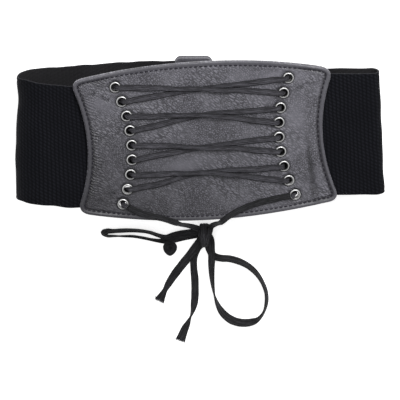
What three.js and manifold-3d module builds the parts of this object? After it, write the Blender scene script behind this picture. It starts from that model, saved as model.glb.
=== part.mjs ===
// A wide waist belt with a laced leather front panel, fastened into a loop and lying on its back.
// Millimetres. X runs along the belt, Y towards its top edge, and Z up from the surface it lies on.
// The origin is the middle of the outer closure tab's resting face.
import * as THREE from "three";
import { mergeVertices } from "three/addons/utils/BufferGeometryUtils.js";
import Module from "manifold-3d";

const wasm = await Module();
wasm.setup();

// General
const clearance = 0.3; // between pieces that touch
const ringSides = 12; // sides of the eyelets and of their holes

// Elastic loop
const bandHeight = 100;
const bandThickness = 1.6;
const leftReach = 139; // from the closure's middle to the outside of the left fold
const rightReach = 148;
const leftFoldHeight = 44;
const rightFoldHeight = 17;
const frontCrown = 2.5; // how far the front run bulges
const bandStep = 9; // length of a facet on the flat runs
const foldFacets = 12; // facets round each fold

// Closure at the back
const tabWidth = 29.5;
const tabHeight = 106;
const tabThickness = 2.4;
const tabCorner = 5;
const tabSeam = 10.5; // how much of a band's end lies between the tabs
const claspHeight = 92;
const reliefLength = 28; // over which a band comes down from the tabs to the surface

// Front panel
const panelFromClosure = 9; // the panel's middle, along X
const panelHeight = 130;
const panelRise = 0.5; // its middle over the band's middle
const panelCrown = 9; // the top edge is this much lower at its ends
const panelWaist = 185; // width at the waist
const panelFlare = 8; // how much each side stands out at the corners
const cornerRun = 7.5; // how far a corner's rounding reaches along the top edge
const cornerDrop = 11; // and down the side
const panelThickness = 2.4;
const rimProud = 0.8;
const rimWidth = 3.8;
const panelOverlap = 12; // how much of each band is sewn under the panel

// Eyelets and lace
const rows = 9;
const rowMargin = 17; // from the panel's top and bottom to its first and last rows
const columnReach = 57.8; // from the panel's middle to a column, at the waist
const columnFlare = 10; // how much further out the column's ends are
const holeRadius = 2.8;
const barrelWall = 0.4;
const flangeWidth = 1.4; // beyond the barrel's outside
const flangeHeight = 0.8;
const laceWidth = 6;
const laceThickness = 1.3;

// Derived places
const leftRadius = (leftFoldHeight - bandThickness) / 2;
const rightRadius = (rightFoldHeight - bandThickness) / 2;
const leftCentre = new THREE.Vector2(-leftReach + leftFoldHeight / 2, leftFoldHeight / 2);
const rightCentre = new THREE.Vector2(rightReach - rightFoldHeight / 2, rightFoldHeight / 2);
const foldsApart = leftCentre.distanceTo(rightCentre);
const centresSlope = Math.atan2(rightCentre.y - leftCentre.y, rightCentre.x - leftCentre.x);
const frontSlope = centresSlope + Math.asin((rightRadius - leftRadius) / foldsApart);
const frontAngle = Math.PI / 2 + frontSlope; // where the front run touches both folds
const frontStart = new THREE.Vector2(Math.cos(frontAngle), Math.sin(frontAngle))
  .multiplyScalar(leftRadius)
  .add(leftCentre);
const frontLength = Math.sqrt(foldsApart ** 2 - (leftRadius - rightRadius) ** 2);
const leftFoldStart = -leftCentre.x;
const leftFoldEnd = leftFoldStart + leftRadius * (1.5 * Math.PI - frontAngle);
const rightFoldStart = leftFoldEnd + frontLength;
const rightFoldEnd = rightFoldStart + rightRadius * (frontAngle + Math.PI / 2);
const loopLength = rightFoldEnd + rightCentre.x;
const rowPitch = (panelHeight - 2 * rowMargin) / (rows - 1);
const panelAlong = leftFoldEnd + (panelFromClosure - frontStart.x) / Math.cos(frontSlope);
const panelUnder = bandThickness / 2 + clearance; // heights over the band's middle
const panelFace = panelUnder + panelThickness;
const rimTop = panelFace + rimProud;
const flangeTop = panelFace + clearance + flangeHeight;
const backFlange = panelUnder - clearance - flangeHeight;
const tabLift = tabThickness + clearance;

const mix = THREE.MathUtils.lerp;
const colours = { leather: 0x626168, elastic: 0x141519, lace: 0x232427, metal: 0xc9c9cc, clasp: 0x2a2a2c };

function finish(colour, roughness, metalness) {
  return new THREE.MeshStandardMaterial({ color: colour, roughness, metalness });
}

// The belt's middle surface, seen from its end: distance along the loop to X and Z.
function loopPoint(along) {
  if (along < leftFoldStart) return onFloor(-along);
  if (along < leftFoldEnd) {
    const angle = -Math.PI / 2 - (along - leftFoldStart) / leftRadius;
    return onFold(leftCentre, leftRadius, angle);
  }
  if (along < rightFoldStart) {
    const share = (along - leftFoldEnd) / frontLength;
    const bulge = frontCrown * Math.sin(Math.PI * share) ** 2;
    const run = along - leftFoldEnd;
    return new THREE.Vector2(
      frontStart.x + run * Math.cos(frontSlope),
      frontStart.y + run * Math.sin(frontSlope) + bulge,
    );
  }
  if (along < rightFoldEnd) {
    const angle = frontAngle - (along - rightFoldStart) / rightRadius;
    return onFold(rightCentre, rightRadius, angle);
  }
  return onFloor(loopLength - along);
}

function onFold(centre, radius, angle) {
  return new THREE.Vector2(centre.x + radius * Math.cos(angle), centre.y + radius * Math.sin(angle));
}

// The back lies on the surface and climbs onto the outer tab.
function onFloor(x) {
  const start = tabWidth / 2 + 2;
  const climb = 1 - THREE.MathUtils.smoothstep(Math.abs(x), start, start + reliefLength);
  return new THREE.Vector2(x, bandThickness / 2 + tabLift * climb);
}

// How the loop sits across its width. along: place on the loop, shift: mm towards the top edge,
// lean: degrees that a line across the belt leans to the left.
const sitting = [
  { along: 0, shift: 0, lean: 0 },
  { along: leftFoldStart * 0.2, shift: -0.5, lean: 0 },
  { along: leftFoldStart * 0.56, shift: -2.9, lean: 0 },
  { along: leftFoldStart * 0.94, shift: -6.5, lean: -0.3 },
  { along: mix(leftFoldStart, leftFoldEnd, 0.44), shift: -7.6, lean: -0.5 },
  { along: mix(leftFoldStart, leftFoldEnd, 0.73), shift: -5.6, lean: 0 },
  { along: leftFoldEnd, shift: -6.9, lean: 0.9 },
  { along: panelAlong - panelWaist * 0.562, shift: -9.35, lean: 3 },
  { along: panelAlong - columnReach, shift: -8.2, lean: 3.5 },
  { along: panelAlong, shift: -6.7, lean: 3.4 },
  { along: panelAlong + columnReach, shift: -5.3, lean: 3.4 },
  { along: panelAlong + panelWaist * 0.486, shift: -5, lean: 3.3 },
  { along: panelAlong + panelWaist * 0.562, shift: -5.7, lean: 3.1 },
  { along: mix(rightFoldStart, rightFoldEnd, 0.51), shift: -6.9, lean: 2.8 },
  { along: loopLength - rightCentre.x * 0.77, shift: -7.3, lean: 1.2 },
  { along: loopLength - rightCentre.x * 0.43, shift: -2.9, lean: 0.3 },
  { along: loopLength - rightCentre.x * 0.17, shift: -0.4, lean: 0 },
  { along: loopLength, shift: 0, lean: 0 },
];

// A smooth curve through a column of the table that never overshoots its rows.
function sittingAt(along, column) {
  const last = sitting.length - 2;
  const found = sitting.findIndex((row) => row.along > along) - 1;
  const k = found < 0 ? (along > 0 ? last : 0) : found;
  const [low, high] = [sitting[k], sitting[k + 1]];
  const span = high.along - low.along;
  const share = THREE.MathUtils.clamp((along - low.along) / span, 0, 1);
  const rest = 1 - share;
  return (
    (1 + 2 * share) * rest ** 2 * low[column] +
    share * rest ** 2 * span * steepness(k, column) +
    share ** 2 * (3 - 2 * share) * high[column] -
    share ** 2 * rest * span * steepness(k + 1, column)
  );
}

function steepness(k, column) {
  if (k === 0 || k === sitting.length - 1) return 0;
  const before = sitting[k].along - sitting[k - 1].along;
  const after = sitting[k + 1].along - sitting[k].along;
  const rise = (sitting[k][column] - sitting[k - 1][column]) / before;
  const next = (sitting[k + 1][column] - sitting[k][column]) / after;
  if (rise * next <= 0) return 0;
  const [w1, w2] = [2 * after + before, after + 2 * before];
  return (w1 + w2) / (w1 / rise + w2 / next);
}

// A point of the belt: along the loop, across its width, and out from the band's middle.
function beltPoint(along, across, out) {
  const step = 0.5;
  const middle = loopPoint(along);
  const heading = loopPoint(along + step).sub(loopPoint(along - step)).normalize();
  const lean = THREE.MathUtils.degToRad(sittingAt(along, "lean"));
  return new THREE.Vector3(
    middle.x - out * heading.y - across * Math.sin(lean),
    sittingAt(along, "shift") + across * Math.cos(lean),
    middle.y + out * heading.x,
  );
}

// The same, from the front panel's middle: u along the belt, v towards its top edge.
function panelPoint(u, v, out) {
  return beltPoint(panelAlong + u, v + panelRise, out);
}

// Two unit vectors of the panel at a place, along the belt and out of it.
function panelAxes(u, v) {
  const origin = panelPoint(u, v, panelFace);
  const along = panelPoint(u + 1, v, panelFace).sub(origin).normalize();
  const up = panelPoint(u, v, panelFace + 1).sub(origin).normalize();
  const across = up.clone().cross(along).normalize();
  return { origin, along: across.clone().cross(up), across, up };
}

// Closed meshes and joins
function bareGeometry(geometry) {
  const bare = geometry.index ? geometry.clone() : geometry;
  bare.deleteAttribute("normal");
  bare.deleteAttribute("uv");
  return mergeVertices(bare, 1e-4);
}

function toSolid(geometry) {
  const bare = bareGeometry(geometry);
  return new wasm.Manifold(
    new wasm.Mesh({
      numProp: 3,
      vertProperties: new Float32Array(bare.attributes.position.array),
      triVerts: new Uint32Array(bare.index.array),
    }),
  );
}

function toGeometry(solid) {
  const mesh = solid.getMesh();
  const geometry = new THREE.BufferGeometry();
  geometry.setAttribute("position", new THREE.BufferAttribute(mesh.vertProperties, 3));
  geometry.setIndex(new THREE.BufferAttribute(mesh.triVerts, 1));
  return geometry;
}

// Every vertex of a geometry carried to where place(x, y, z) puts it.
function carried(geometry, place) {
  const position = geometry.attributes.position;
  for (let i = 0; i < position.count; i++) {
    const p = place(position.getX(i), position.getY(i), position.getZ(i));
    position.setXYZ(i, p.x, p.y, p.z);
  }
  return geometry;
}

// Front panel
function topEdge(u) {
  const endU = panelWaist / 2 + panelFlare - cornerRun;
  return panelHeight / 2 - panelCrown * (u / endU) ** 2;
}

function sideEdge(v) {
  const endV = panelHeight / 2 - panelCrown - cornerDrop;
  return panelWaist / 2 + panelFlare * (v / endV) ** 2;
}

// One quarter of the outline, from the top edge's middle to the side's middle.
function quarterOutline() {
  const [topSteps, cornerSteps, sideSteps] = [6, 3, 3];
  const endU = panelWaist / 2 + panelFlare - cornerRun;
  const endV = panelHeight / 2 - panelCrown - cornerDrop;
  const topSlope = (-2 * panelCrown) / endU;
  const sideSlope = (2 * panelFlare) / endV;
  const topEnd = new THREE.Vector2(endU, topEdge(endU));
  const sideEnd = new THREE.Vector2(sideEdge(endV), endV);
  const run = (sideEnd.x - topEnd.x + sideSlope * (topEnd.y - sideEnd.y)) / (1 - sideSlope * topSlope);
  const corner = new THREE.Vector2(topEnd.x + run, topEnd.y + topSlope * run);
  const points = [];
  for (let i = 0; i < topSteps; i++) {
    const u = (endU * i) / topSteps;
    points.push(new THREE.Vector2(u, topEdge(u)));
  }
  points.push(...new THREE.QuadraticBezierCurve(topEnd, corner, sideEnd).getPoints(cornerSteps));
  for (let i = sideSteps - 1; i >= 0; i--) {
    const v = (endV * i) / sideSteps;
    points.push(new THREE.Vector2(sideEdge(v), v));
  }
  return points;
}

// The whole outline, clockwise from the top edge's middle, moved inwards by a distance.
function panelOutline(inwards) {
  const quarter = quarterOutline();
  const mirrored = (points, sx, sy) => points.map((p) => new THREE.Vector2(p.x * sx, p.y * sy));
  const outline = [
    ...quarter,
    ...mirrored(quarter, 1, -1).reverse().slice(1),
    ...mirrored(quarter, -1, -1).slice(1),
    ...mirrored(quarter, -1, 1).reverse().slice(1, -1),
  ];
  return outline.map((p, i) => {
    const before = outline[(i + outline.length - 1) % outline.length];
    const after = outline[(i + 1) % outline.length];
    const heading = after.clone().sub(before).normalize();
    return new THREE.Vector2(p.x + heading.y * inwards, p.y - heading.x * inwards);
  });
}

// The rim's section, from the underside's edge over the rounded rim and stitched groove to the face.
// inwards: share of the rim's width, height: share of the rim's full height.
const rimSection = [
  { inwards: 0.06, height: 0 },
  { inwards: 0, height: 0.2 },
  { inwards: 0, height: 0.62 },
  { inwards: 0.12, height: 0.88 },
  { inwards: 0.38, height: 1 },
  { inwards: 0.72, height: 0.94 },
  { inwards: 0.98, height: 0.68 },
  { inwards: 1.3, height: 0.75 },
];

function frontPanel() {
  const rimHeight = panelThickness + rimProud;
  const shrinks = [0.72, 0.4];
  const rings = [];
  const addRing = (points, share, out) => rings.push(points.map((p) => [p.x * share, p.y * share, out]));
  const under = panelOutline(rimSection[0].inwards * rimWidth);
  for (const share of [...shrinks].reverse()) addRing(under, share, panelUnder);
  for (const row of rimSection) {
    const height = row === rimSection.at(-1) ? panelThickness : row.height * rimHeight;
    addRing(panelOutline(row.inwards * rimWidth), 1, panelUnder + height);
  }
  const inner = panelOutline(rimSection.at(-1).inwards * rimWidth);
  for (const share of shrinks) addRing(inner, share, panelFace);
  const points = rings.flat().map(([u, v, out]) => panelPoint(u, v, out));
  const count = under.length;
  const bottomPole = points.push(panelPoint(0, 0, panelUnder)) - 1;
  const topPole = points.push(panelPoint(0, 0, panelFace)) - 1;
  const faces = [];
  for (let i = 0; i < count; i++) {
    const j = (i + 1) % count;
    faces.push(bottomPole, i, j);
    for (let r = 0; r + 1 < rings.length; r++) {
      const [a, b] = [r * count, (r + 1) * count];
      faces.push(a + i, b + i, b + j, a + i, b + j, a + j);
    }
    const last = (rings.length - 1) * count;
    faces.push(last + i, topPole, last + j);
  }
  const geometry = new THREE.BufferGeometry().setFromPoints(points);
  geometry.setIndex(faces);
  const holes = eyeletPlaces().map((place) => toSolid(laceHole(place)));
  return toGeometry(holes.reduce((panel, hole) => panel.subtract(hole), toSolid(geometry)));
}

// Eyelets: side -1 is left, row 0 is the top one.
function eyeletAt(side, row) {
  const middle = (rows - 1) / 2;
  const v = (middle - row) * rowPitch;
  const u = side * (columnReach + columnFlare * ((middle - row) / middle) ** 2);
  return { side, row, u, v };
}

function eyeletPlaces() {
  const all = Array.from({ length: rows }, (_, row) => row);
  return [-1, 1].flatMap((side) => all.map((row) => eyeletAt(side, row)));
}

// Carries a piece made upright round the Z axis into the panel, with z over the panel's face.
function intoPanel(geometry, { u, v }) {
  const { origin, along, across, up } = panelAxes(u, v);
  return carried(geometry, (x, y, z) =>
    origin.clone().addScaledVector(along, x).addScaledVector(across, y).addScaledVector(up, z),
  );
}

function laceHole(place) {
  const radius = holeRadius + barrelWall + clearance;
  const hole = new THREE.CylinderGeometry(radius, radius, 4 * panelThickness, ringSides);
  return intoPanel(hole.rotateX(Math.PI / 2), place);
}

function eyelet(place) {
  const outer = holeRadius + barrelWall;
  const edge = outer + flangeWidth;
  const low = backFlange - panelFace;
  const top = clearance + flangeHeight;
  const profile = [
    [holeRadius, low + flangeHeight * 0.5],
    [mix(holeRadius, edge, 0.4), low],
    [edge - 0.3, low + flangeHeight],
    [outer, low + flangeHeight],
    [outer, clearance],
    [edge, clearance],
    [mix(holeRadius, edge, 0.5), top],
    [holeRadius, clearance + flangeHeight * 0.4],
  ].map(([r, z]) => new THREE.Vector2(r, z));
  profile.push(profile[0].clone());
  const ring = new THREE.LatheGeometry(profile, ringSides).rotateX(Math.PI / 2);
  return intoPanel(ring, place);
}

// Elastic bands: a flat slab bent round its stretch of the loop.
function band(from, to) {
  const folds = [leftFoldStart, leftFoldEnd, rightFoldStart, rightFoldEnd];
  const marks = [from, ...folds.filter((mark) => mark > from && mark < to), to];
  const stations = marks.slice(0, -1).flatMap((mark, i) => {
    const onAFold = folds.indexOf(mark) % 2 === 0 && folds.includes(marks[i + 1]);
    const facets = onAFold ? foldFacets : Math.ceil((marks[i + 1] - mark) / bandStep);
    return Array.from({ length: facets }, (_, k) => mix(mark, marks[i + 1], k / facets));
  });
  stations.push(to);
  const steps = stations.length - 1;
  const slab = new THREE.BoxGeometry(steps, bandHeight, bandThickness, steps, 2, 1);
  return carried(slab, (x, y, z) => beltPoint(stations[Math.round(x + steps / 2)], y, z));
}

// Back closure
function roundedTab(bottom) {
  const [x, y, r] = [tabWidth / 2, tabHeight / 2, tabCorner];
  const shape = new THREE.Shape();
  shape.absarc(x - r, y - r, r, 0, Math.PI / 2);
  shape.absarc(r - x, y - r, r, Math.PI / 2, Math.PI);
  shape.absarc(r - x, r - y, r, Math.PI, 1.5 * Math.PI);
  shape.absarc(x - r, r - y, r, 1.5 * Math.PI, 2 * Math.PI);
  const settings = { depth: tabThickness, bevelEnabled: false, curveSegments: 4 };
  return new THREE.ExtrudeGeometry(shape, settings).translate(0, 0, bottom);
}

function closureClasp() {
  const width = tabWidth - 2 * tabSeam - 2 * clearance;
  const clasp = new THREE.BoxGeometry(width, claspHeight, bandThickness);
  return clasp.translate(0, 0, tabLift + bandThickness / 2);
}

// Lace: a flat tape carried along stations of middle, width direction and width.
function tape(stations) {
  const half = laceThickness / 2;
  const upper = [[1, 0], [0.8, half], [0, half], [-0.8, half]];
  const lower = upper.map(([x, y]) => [-x, -y]);
  const section = new THREE.Shape([...upper, ...lower].map(([x, y]) => new THREE.Vector2(x, y)));
  const steps = stations.length - 1;
  const straight = new THREE.ExtrudeGeometry(section, { depth: steps, steps, bevelEnabled: false });
  return carried(straight, (x, y, z) => {
    const k = Math.round(z);
    const before = stations[Math.max(k - 1, 0)].middle;
    const heading = stations[Math.min(k + 1, steps)].middle.clone().sub(before).normalize();
    const across = stations[k].across.clone().addScaledVector(heading, -heading.dot(stations[k].across));
    const face = heading.clone().cross(across.normalize());
    const reach = (x * laceWidth * stations[k].spread) / 2;
    return stations[k].middle.clone().addScaledVector(across, reach).addScaledVector(face, y);
  });
}

// The laced stretch, from the lowest left eyelet over the top to the lowest right one.
// Each front strand rises from an odd row and goes in at the even row below it on the other side.
const strandRise = laceThickness / 2 + clearance; // the lace's middle over what it lies on
const holeSpread = 0.72; // shares of the lace's width
const strandSpread = 0.84;
const endHeadings = { left: [0.82, -0.57], right: [-0.983, -0.184] };

function lacedPlaces() {
  const halfRoute = [];
  for (let row = rows - 1, side = -1; row > 0; row -= 2, side = -side) {
    halfRoute.push(eyeletAt(side, row), eyeletAt(side, row - 1));
  }
  halfRoute.push(eyeletAt(halfRoute.at(-1).side * -1, 0));
  const mirrored = halfRoute.map(({ side, row }) => eyeletAt(-side, row)).reverse();
  return [...halfRoute, ...mirrored];
}

function laceStations() {
  const places = lacedPlaces();
  const route = [];
  const add = (u, v, out, spread, across) => route.push({ u, v, out, spread, across });
  const over = flangeTop + strandRise;
  const under = backFlange - strandRise;
  const flat = panelFace + strandRise;
  const within = (panelFace + panelUnder) / 2;
  const leave = (from, heading, distances, out, spread) => {
    const across = [-heading[1], heading[0]];
    for (const d of distances) add(from.u + heading[0] * d, from.v + heading[1] * d, out, spread, across);
  };
  leave(places[0], endHeadings.left, [3.4, 1.6], over, holeSpread);
  places.forEach((place, i) => {
    add(place.u, place.v, within, holeSpread, null); // in a hole its neighbours give the direction
    const next = places[i + 1];
    if (!next) return;
    const away = new THREE.Vector2(next.u - place.u, next.v - place.v);
    const length = away.length();
    const heading = away.divideScalar(length).toArray();
    if (i % 2 === 0) {
      const stops = place.row === 0 ? [1.6, length * 0.3, length * 0.5, length * 0.7] : [1.6, length / 2];
      leave(place, heading, [...stops, length - 1.6], under, holeSpread);
      return;
    }
    const lift = heading[0] > 0 === place.row < next.row ? laceThickness + clearance : 0;
    const overlap = laceWidth * strandSpread * (length / rowPitch) * 0.5;
    leave(place, heading, [1.6, 5.4], over, holeSpread);
    const middle = length / 2;
    leave(place, heading, [9.5, middle - overlap - 6], flat, strandSpread);
    leave(place, heading, [middle - overlap, middle, middle + overlap], flat + lift, strandSpread);
    leave(place, heading, [middle + overlap + 6, length - 9.5], flat, strandSpread);
    leave(place, heading, [length - 5.4, length - 1.6], over, holeSpread);
  });
  leave(places.at(-1), endHeadings.right, [1.6, 3.4], over, holeSpread);
  return route;
}

// The width lies level with the panel and square to the strand, and turns the short way in each hole.
function lace() {
  const route = laceStations();
  let last = new THREE.Vector2(...route[0].across);
  const stations = route.map(({ u, v, out, spread, across }, i) => {
    const flat = new THREE.Vector2(...(across ?? route[i + 1].across));
    if (flat.dot(last) < 0) flat.negate();
    if (!across) flat.add(last);
    last = flat.normalize();
    const axes = panelAxes(u, v);
    const width = axes.along.multiplyScalar(flat.x).addScaledVector(axes.across, flat.y);
    return { middle: panelPoint(u, v, out), across: width, spread };
  });
  return tape(stations);
}

// Free lace: routes chosen by hand, from the belt to the far end.
// x, y, z: the lace's middle, roll: degrees that its width is turned up from level,
// spread: share of the lace's width.
const columns = ["x", "y", "z", "roll", "spread"];
const routes = {
  lace_end_left: [
    [-50.9, -57.8, 43.3, 0, 0.8],
    [-46.6, -60.6, 42.4, 0, 0.85],
    [-41, -63.4, 41.9, 0, 0.85],
    [-33.4, -65.7, 41.9, 0, 0.85],
    [-25.5, -67.6, 42, 0, 0.8],
    [-19.9, -69.3, 41.7, 0, 0.8],
    [-15.3, -71.1, 41.4, 0, 0.8],
    [-12.4, -72.7, 39.9, 12, 0.8],
    [-10, -75.3, 34, 22, 0.8],
    [-7.4, -77.8, 27.6, 20, 0.8],
    [-2, -82.7, 16, 10, 0.8],
    [1.5, -85.6, 10.5, 0, 0.8],
    [5.4, -88.6, 6.5, 0, 0.8],
  ],
  lace_end_right: [
    [76, -52.7, 30.3, 0, 0.8],
    [67.3, -54.6, 30.4, 0, 0.85],
    [56, -56.7, 31.9, 0, 0.85],
    [44.7, -59.8, 33.4, 0, 0.8],
    [37.3, -62.6, 34.5, 0, 0.8],
    [30.7, -65.9, 36.4, 0, 0.8],
    [25.7, -69.1, 37.3, 0, 0.8],
    [23, -71.5, 37, 0, 0.8],
    [21.2, -74.3, 32.9, 0, 0.8],
    [19.5, -76.9, 26.2, 0, 0.8],
    [17.6, -79.7, 19.2, 0, 0.8],
    [15.3, -83.2, 12, 0, 0.8],
    [12.4, -86.6, 7.5, 0, 0.8],
  ],
  bow_loop_left: [
    [5.5, -91.3, 3.6, 0, 0.95],
    [-3.5, -92.5, 3, 0, 1],
    [-9.8, -93.5, 2.7, 0, 1],
    [-16.1, -94.7, 3.4, 20, 0.9],
    [-21.6, -95.9, 3.9, 55, 0.85],
    [-27.5, -94.6, 3.3, 78, 0.95],
    [-34.2, -92.2, 3.2, 84, 1],
    [-42.1, -90.8, 3.2, 81, 1],
    [-49.9, -90.4, 3.2, 79, 1],
    [-57.8, -90.6, 3.2, 77, 1],
    [-63.7, -91, 3.2, 75, 1],
    [-68.6, -91, 3.2, 74, 1],
    [-71.6, -92.8, 3.2, 70, 1],
    [-68.6, -94.6, 3.2, 74, 1],
    [-63.3, -94.5, 3.2, 75, 1],
    [-56.2, -94.9, 3.2, 78, 1],
    [-48.3, -95.1, 3.2, 80, 1],
    [-40.5, -96.4, 3.2, 82, 1],
    [-33.1, -98.1, 3.2, 90, 0.95],
    [-26.3, -99.2, 3, 108, 0.9],
    [-20.4, -99.3, 2.4, 140, 0.85],
    [-14.5, -98.2, 1.3, 170, 0.95],
    [-8.6, -96.8, 0.8, 180, 1],
    [5.5, -94.2, 1.2, 180, 0.9],
  ],
  bow_loop_right: [
    [10.4, -90.5, 5.9, 10, 0.9],
    [13.2, -97.5, 4.6, 15, 1.1],
    [13.5, -103.6, 3.8, 10, 1.25],
    [14.3, -110.6, 3.7, 10, 1.02],
    [14.2, -117.6, 3.4, 20, 0.95],
    [14.3, -125.7, 2.9, 38, 0.95],
    [15, -134.7, 3, 55, 0.95],
    [16.5, -144.2, 3.1, 85, 0.95],
    [19.3, -152.8, 3.2, 120, 1],
    [24.4, -160.9, 2.4, 150, 1.05],
    [31.4, -166.2, 1.8, 165, 1.1],
    [39.3, -168.1, 1.6, 170, 1.1],
    [47.1, -167, 1.6, 190, 1.05],
    [52.4, -163.2, 2.9, 230, 0.95],
    [55.9, -157.9, 3, 250, 0.9],
    [57.7, -150.8, 3, 240, 0.95],
    [57.5, -142.5, 3.1, 245, 0.95],
    [54.8, -134.4, 3.1, 245, 0.95],
    [50.1, -126.6, 3, 238, 0.95],
    [43.6, -120.4, 2.8, 228, 0.95],
    [35.8, -116.3, 2.6, 220, 0.95],
    [27.9, -114.2, 2.3, 212, 0.95],
    [21.2, -113.9, 1.7, 200, 0.95],
    [16, -112.3, 1.1, 186, 0.95],
    [13.4, -107.6, 0.8, 180, 0.9],
    [11.4, -97, 1.3, 180, 0.85],
  ],
  bow_tail_left: [
    [6.4, -97, 3.8, 0, 1.05],
    [1.3, -105.2, 3.2, 0, 1.2],
    [-3.6, -111.9, 2.8, 0, 1.15],
    [-9.4, -119.9, 1.6, 0, 1.15],
    [-14.9, -127.7, 0.9, 0, 1.1],
    [-19.6, -135.2, 0.9, 0, 0.95],
    [-22.7, -140.9, 1.2, 10, 0.7],
    [-24.9, -145.3, 0.9, 0, 1],
    [-26.8, -149, 0.9, 0, 1.3],
  ],
  bow_tail_right: [
    [6.4, -99, 1.6, 0, 0.8],
    [2.3, -107.6, 1, 0, 0.95],
    [0.3, -114.2, 0.9, 0, 0.95],
    [0.2, -122, 1.3, 10, 0.95],
    [1, -131.3, 0.9, 0, 1],
    [1.2, -140.4, 0.9, 0, 1],
    [0.9, -149, 0.9, 0, 1],
    [-0.2, -155.5, 2.5, 45, 0.9],
    [-1.7, -160.7, 2.7, 85, 0.8],
    [-4.2, -166.6, 2.6, 135, 0.9],
    [-7.3, -174.2, 0.9, 180, 1.05],
    [-10.2, -182.2, 0.9, 180, 1.25],
  ],
};

function freeLace(route) {
  const rowsOfRoute = route.map((row) => Object.fromEntries(columns.map((name, i) => [name, row[i]])));
  const middles = rowsOfRoute.map(({ x, y, z }) => new THREE.Vector3(x, y, z));
  const up = new THREE.Vector3(0, 0, 1);
  const stations = rowsOfRoute.map(({ roll, spread }, k) => {
    const before = middles[Math.max(k - 1, 0)];
    const heading = middles[Math.min(k + 1, middles.length - 1)].clone().sub(before);
    const level = up.clone().cross(heading).normalize();
    const turn = THREE.MathUtils.degToRad(roll);
    const across = level.multiplyScalar(Math.cos(turn)).addScaledVector(up, Math.sin(turn));
    return { middle: middles[k], across, spread };
  });
  return tape(stations);
}

// The knot lies where the lace's ends meet below the panel, and each strand ends at its face.
const knot = { x: 8.6, y: -92.3, width: 11, length: 17.2, height: 9.4 };

function knotGeometry(room) {
  const ball = new THREE.SphereGeometry(1, 12, 8).rotateX(Math.PI / 2);
  ball.scale(knot.width / 2 + room, knot.length / 2 + room, knot.height / 2 + room);
  return ball.translate(knot.x, knot.y, knot.height / 2 + clearance);
}

function seatedOnKnot(geometry) {
  return toGeometry(toSolid(geometry).subtract(toSolid(knotGeometry(clearance))));
}

// The kink beside the left loop: a drop of lace folded flat on itself.
const kink = { x: -18.5, top: -101.6, length: 10.3, width: 10.4 };

function kinkGeometry() {
  const half = kink.width / 2;
  const drop = new THREE.Shape();
  drop.moveTo(0, 0);
  drop.bezierCurveTo(half * 1.2, 0, half * 1.4, -kink.length * 0.62, 0, -kink.length);
  drop.bezierCurveTo(-half * 1.4, -kink.length * 0.62, -half * 1.2, 0, 0, 0);
  const depth = 2 * laceThickness + clearance;
  const settings = { depth, bevelEnabled: false, curveSegments: 7 };
  return new THREE.ExtrudeGeometry(drop, settings).translate(kink.x, kink.top, clearance);
}

// Assembly
const belt = new THREE.Group();

function addPiece(name, geometry, material) {
  const mesh = new THREE.Mesh(geometry, material);
  mesh.name = name;
  belt.add(mesh);
}

const leather = finish(colours.leather, 0.5, 0);
const elastic = finish(colours.elastic, 0.85, 0);
const laceCloth = finish(colours.lace, 0.8, 0);
const metal = finish(colours.metal, 0.25, 1);

addPiece("front_panel", frontPanel(), leather);
for (const place of eyeletPlaces()) {
  addPiece(`eyelet_${place.side < 0 ? "left" : "right"}_${place.row + 1}`, eyelet(place), metal);
}
const seamStart = tabWidth / 2 - tabSeam;
const seamUnderPanel = panelWaist / 2 - panelOverlap;
addPiece("elastic_left", band(seamStart, panelAlong - seamUnderPanel), elastic);
addPiece("elastic_right", band(panelAlong + seamUnderPanel, loopLength - seamStart), elastic);
addPiece("closure_tab_outer", roundedTab(0), leather);
addPiece("closure_tab_inner", roundedTab(tabLift + bandThickness + clearance), leather);
addPiece("closure_clasp", closureClasp(), finish(colours.clasp, 0.6, 0));
addPiece("lace", lace(), laceCloth);
for (const [name, route] of Object.entries(routes)) {
  addPiece(name, seatedOnKnot(freeLace(route)), laceCloth);
}
addPiece("bow_knot", knotGeometry(0), laceCloth);
addPiece("bow_curl", kinkGeometry(), laceCloth);

export default belt;
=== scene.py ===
# A wide waist belt with a laced leather front panel, lying on its back on a pale floor.
# Metres. Tables of the belt's own shape are in millimetres and turned to metres where they are used.
import math

import bpy
import numpy as np
from mathutils import Matrix, Vector


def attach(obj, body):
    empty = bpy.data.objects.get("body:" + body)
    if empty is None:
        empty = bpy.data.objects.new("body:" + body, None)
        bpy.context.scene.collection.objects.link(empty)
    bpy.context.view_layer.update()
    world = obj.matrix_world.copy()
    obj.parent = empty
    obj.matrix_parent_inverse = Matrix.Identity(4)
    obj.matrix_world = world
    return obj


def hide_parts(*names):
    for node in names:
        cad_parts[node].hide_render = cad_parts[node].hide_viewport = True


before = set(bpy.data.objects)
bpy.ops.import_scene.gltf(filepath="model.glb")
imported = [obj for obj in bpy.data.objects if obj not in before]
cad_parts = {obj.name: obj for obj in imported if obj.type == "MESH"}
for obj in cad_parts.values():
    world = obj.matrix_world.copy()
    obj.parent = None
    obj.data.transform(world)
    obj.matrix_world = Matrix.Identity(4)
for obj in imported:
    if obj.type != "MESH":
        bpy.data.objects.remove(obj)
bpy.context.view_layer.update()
print("frame loaded")

mm = 0.001
upward = np.array([0, 0, 1.0])


view = {
    "lean": 18.0,  # degrees from straight above, towards the belt's top edge
    "looksAt": (0.0051, -0.0597, 0.020),
    "distance": 6.0,
    "widthSeen": 0.3144,
    "sensor": 36.0,
}


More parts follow.
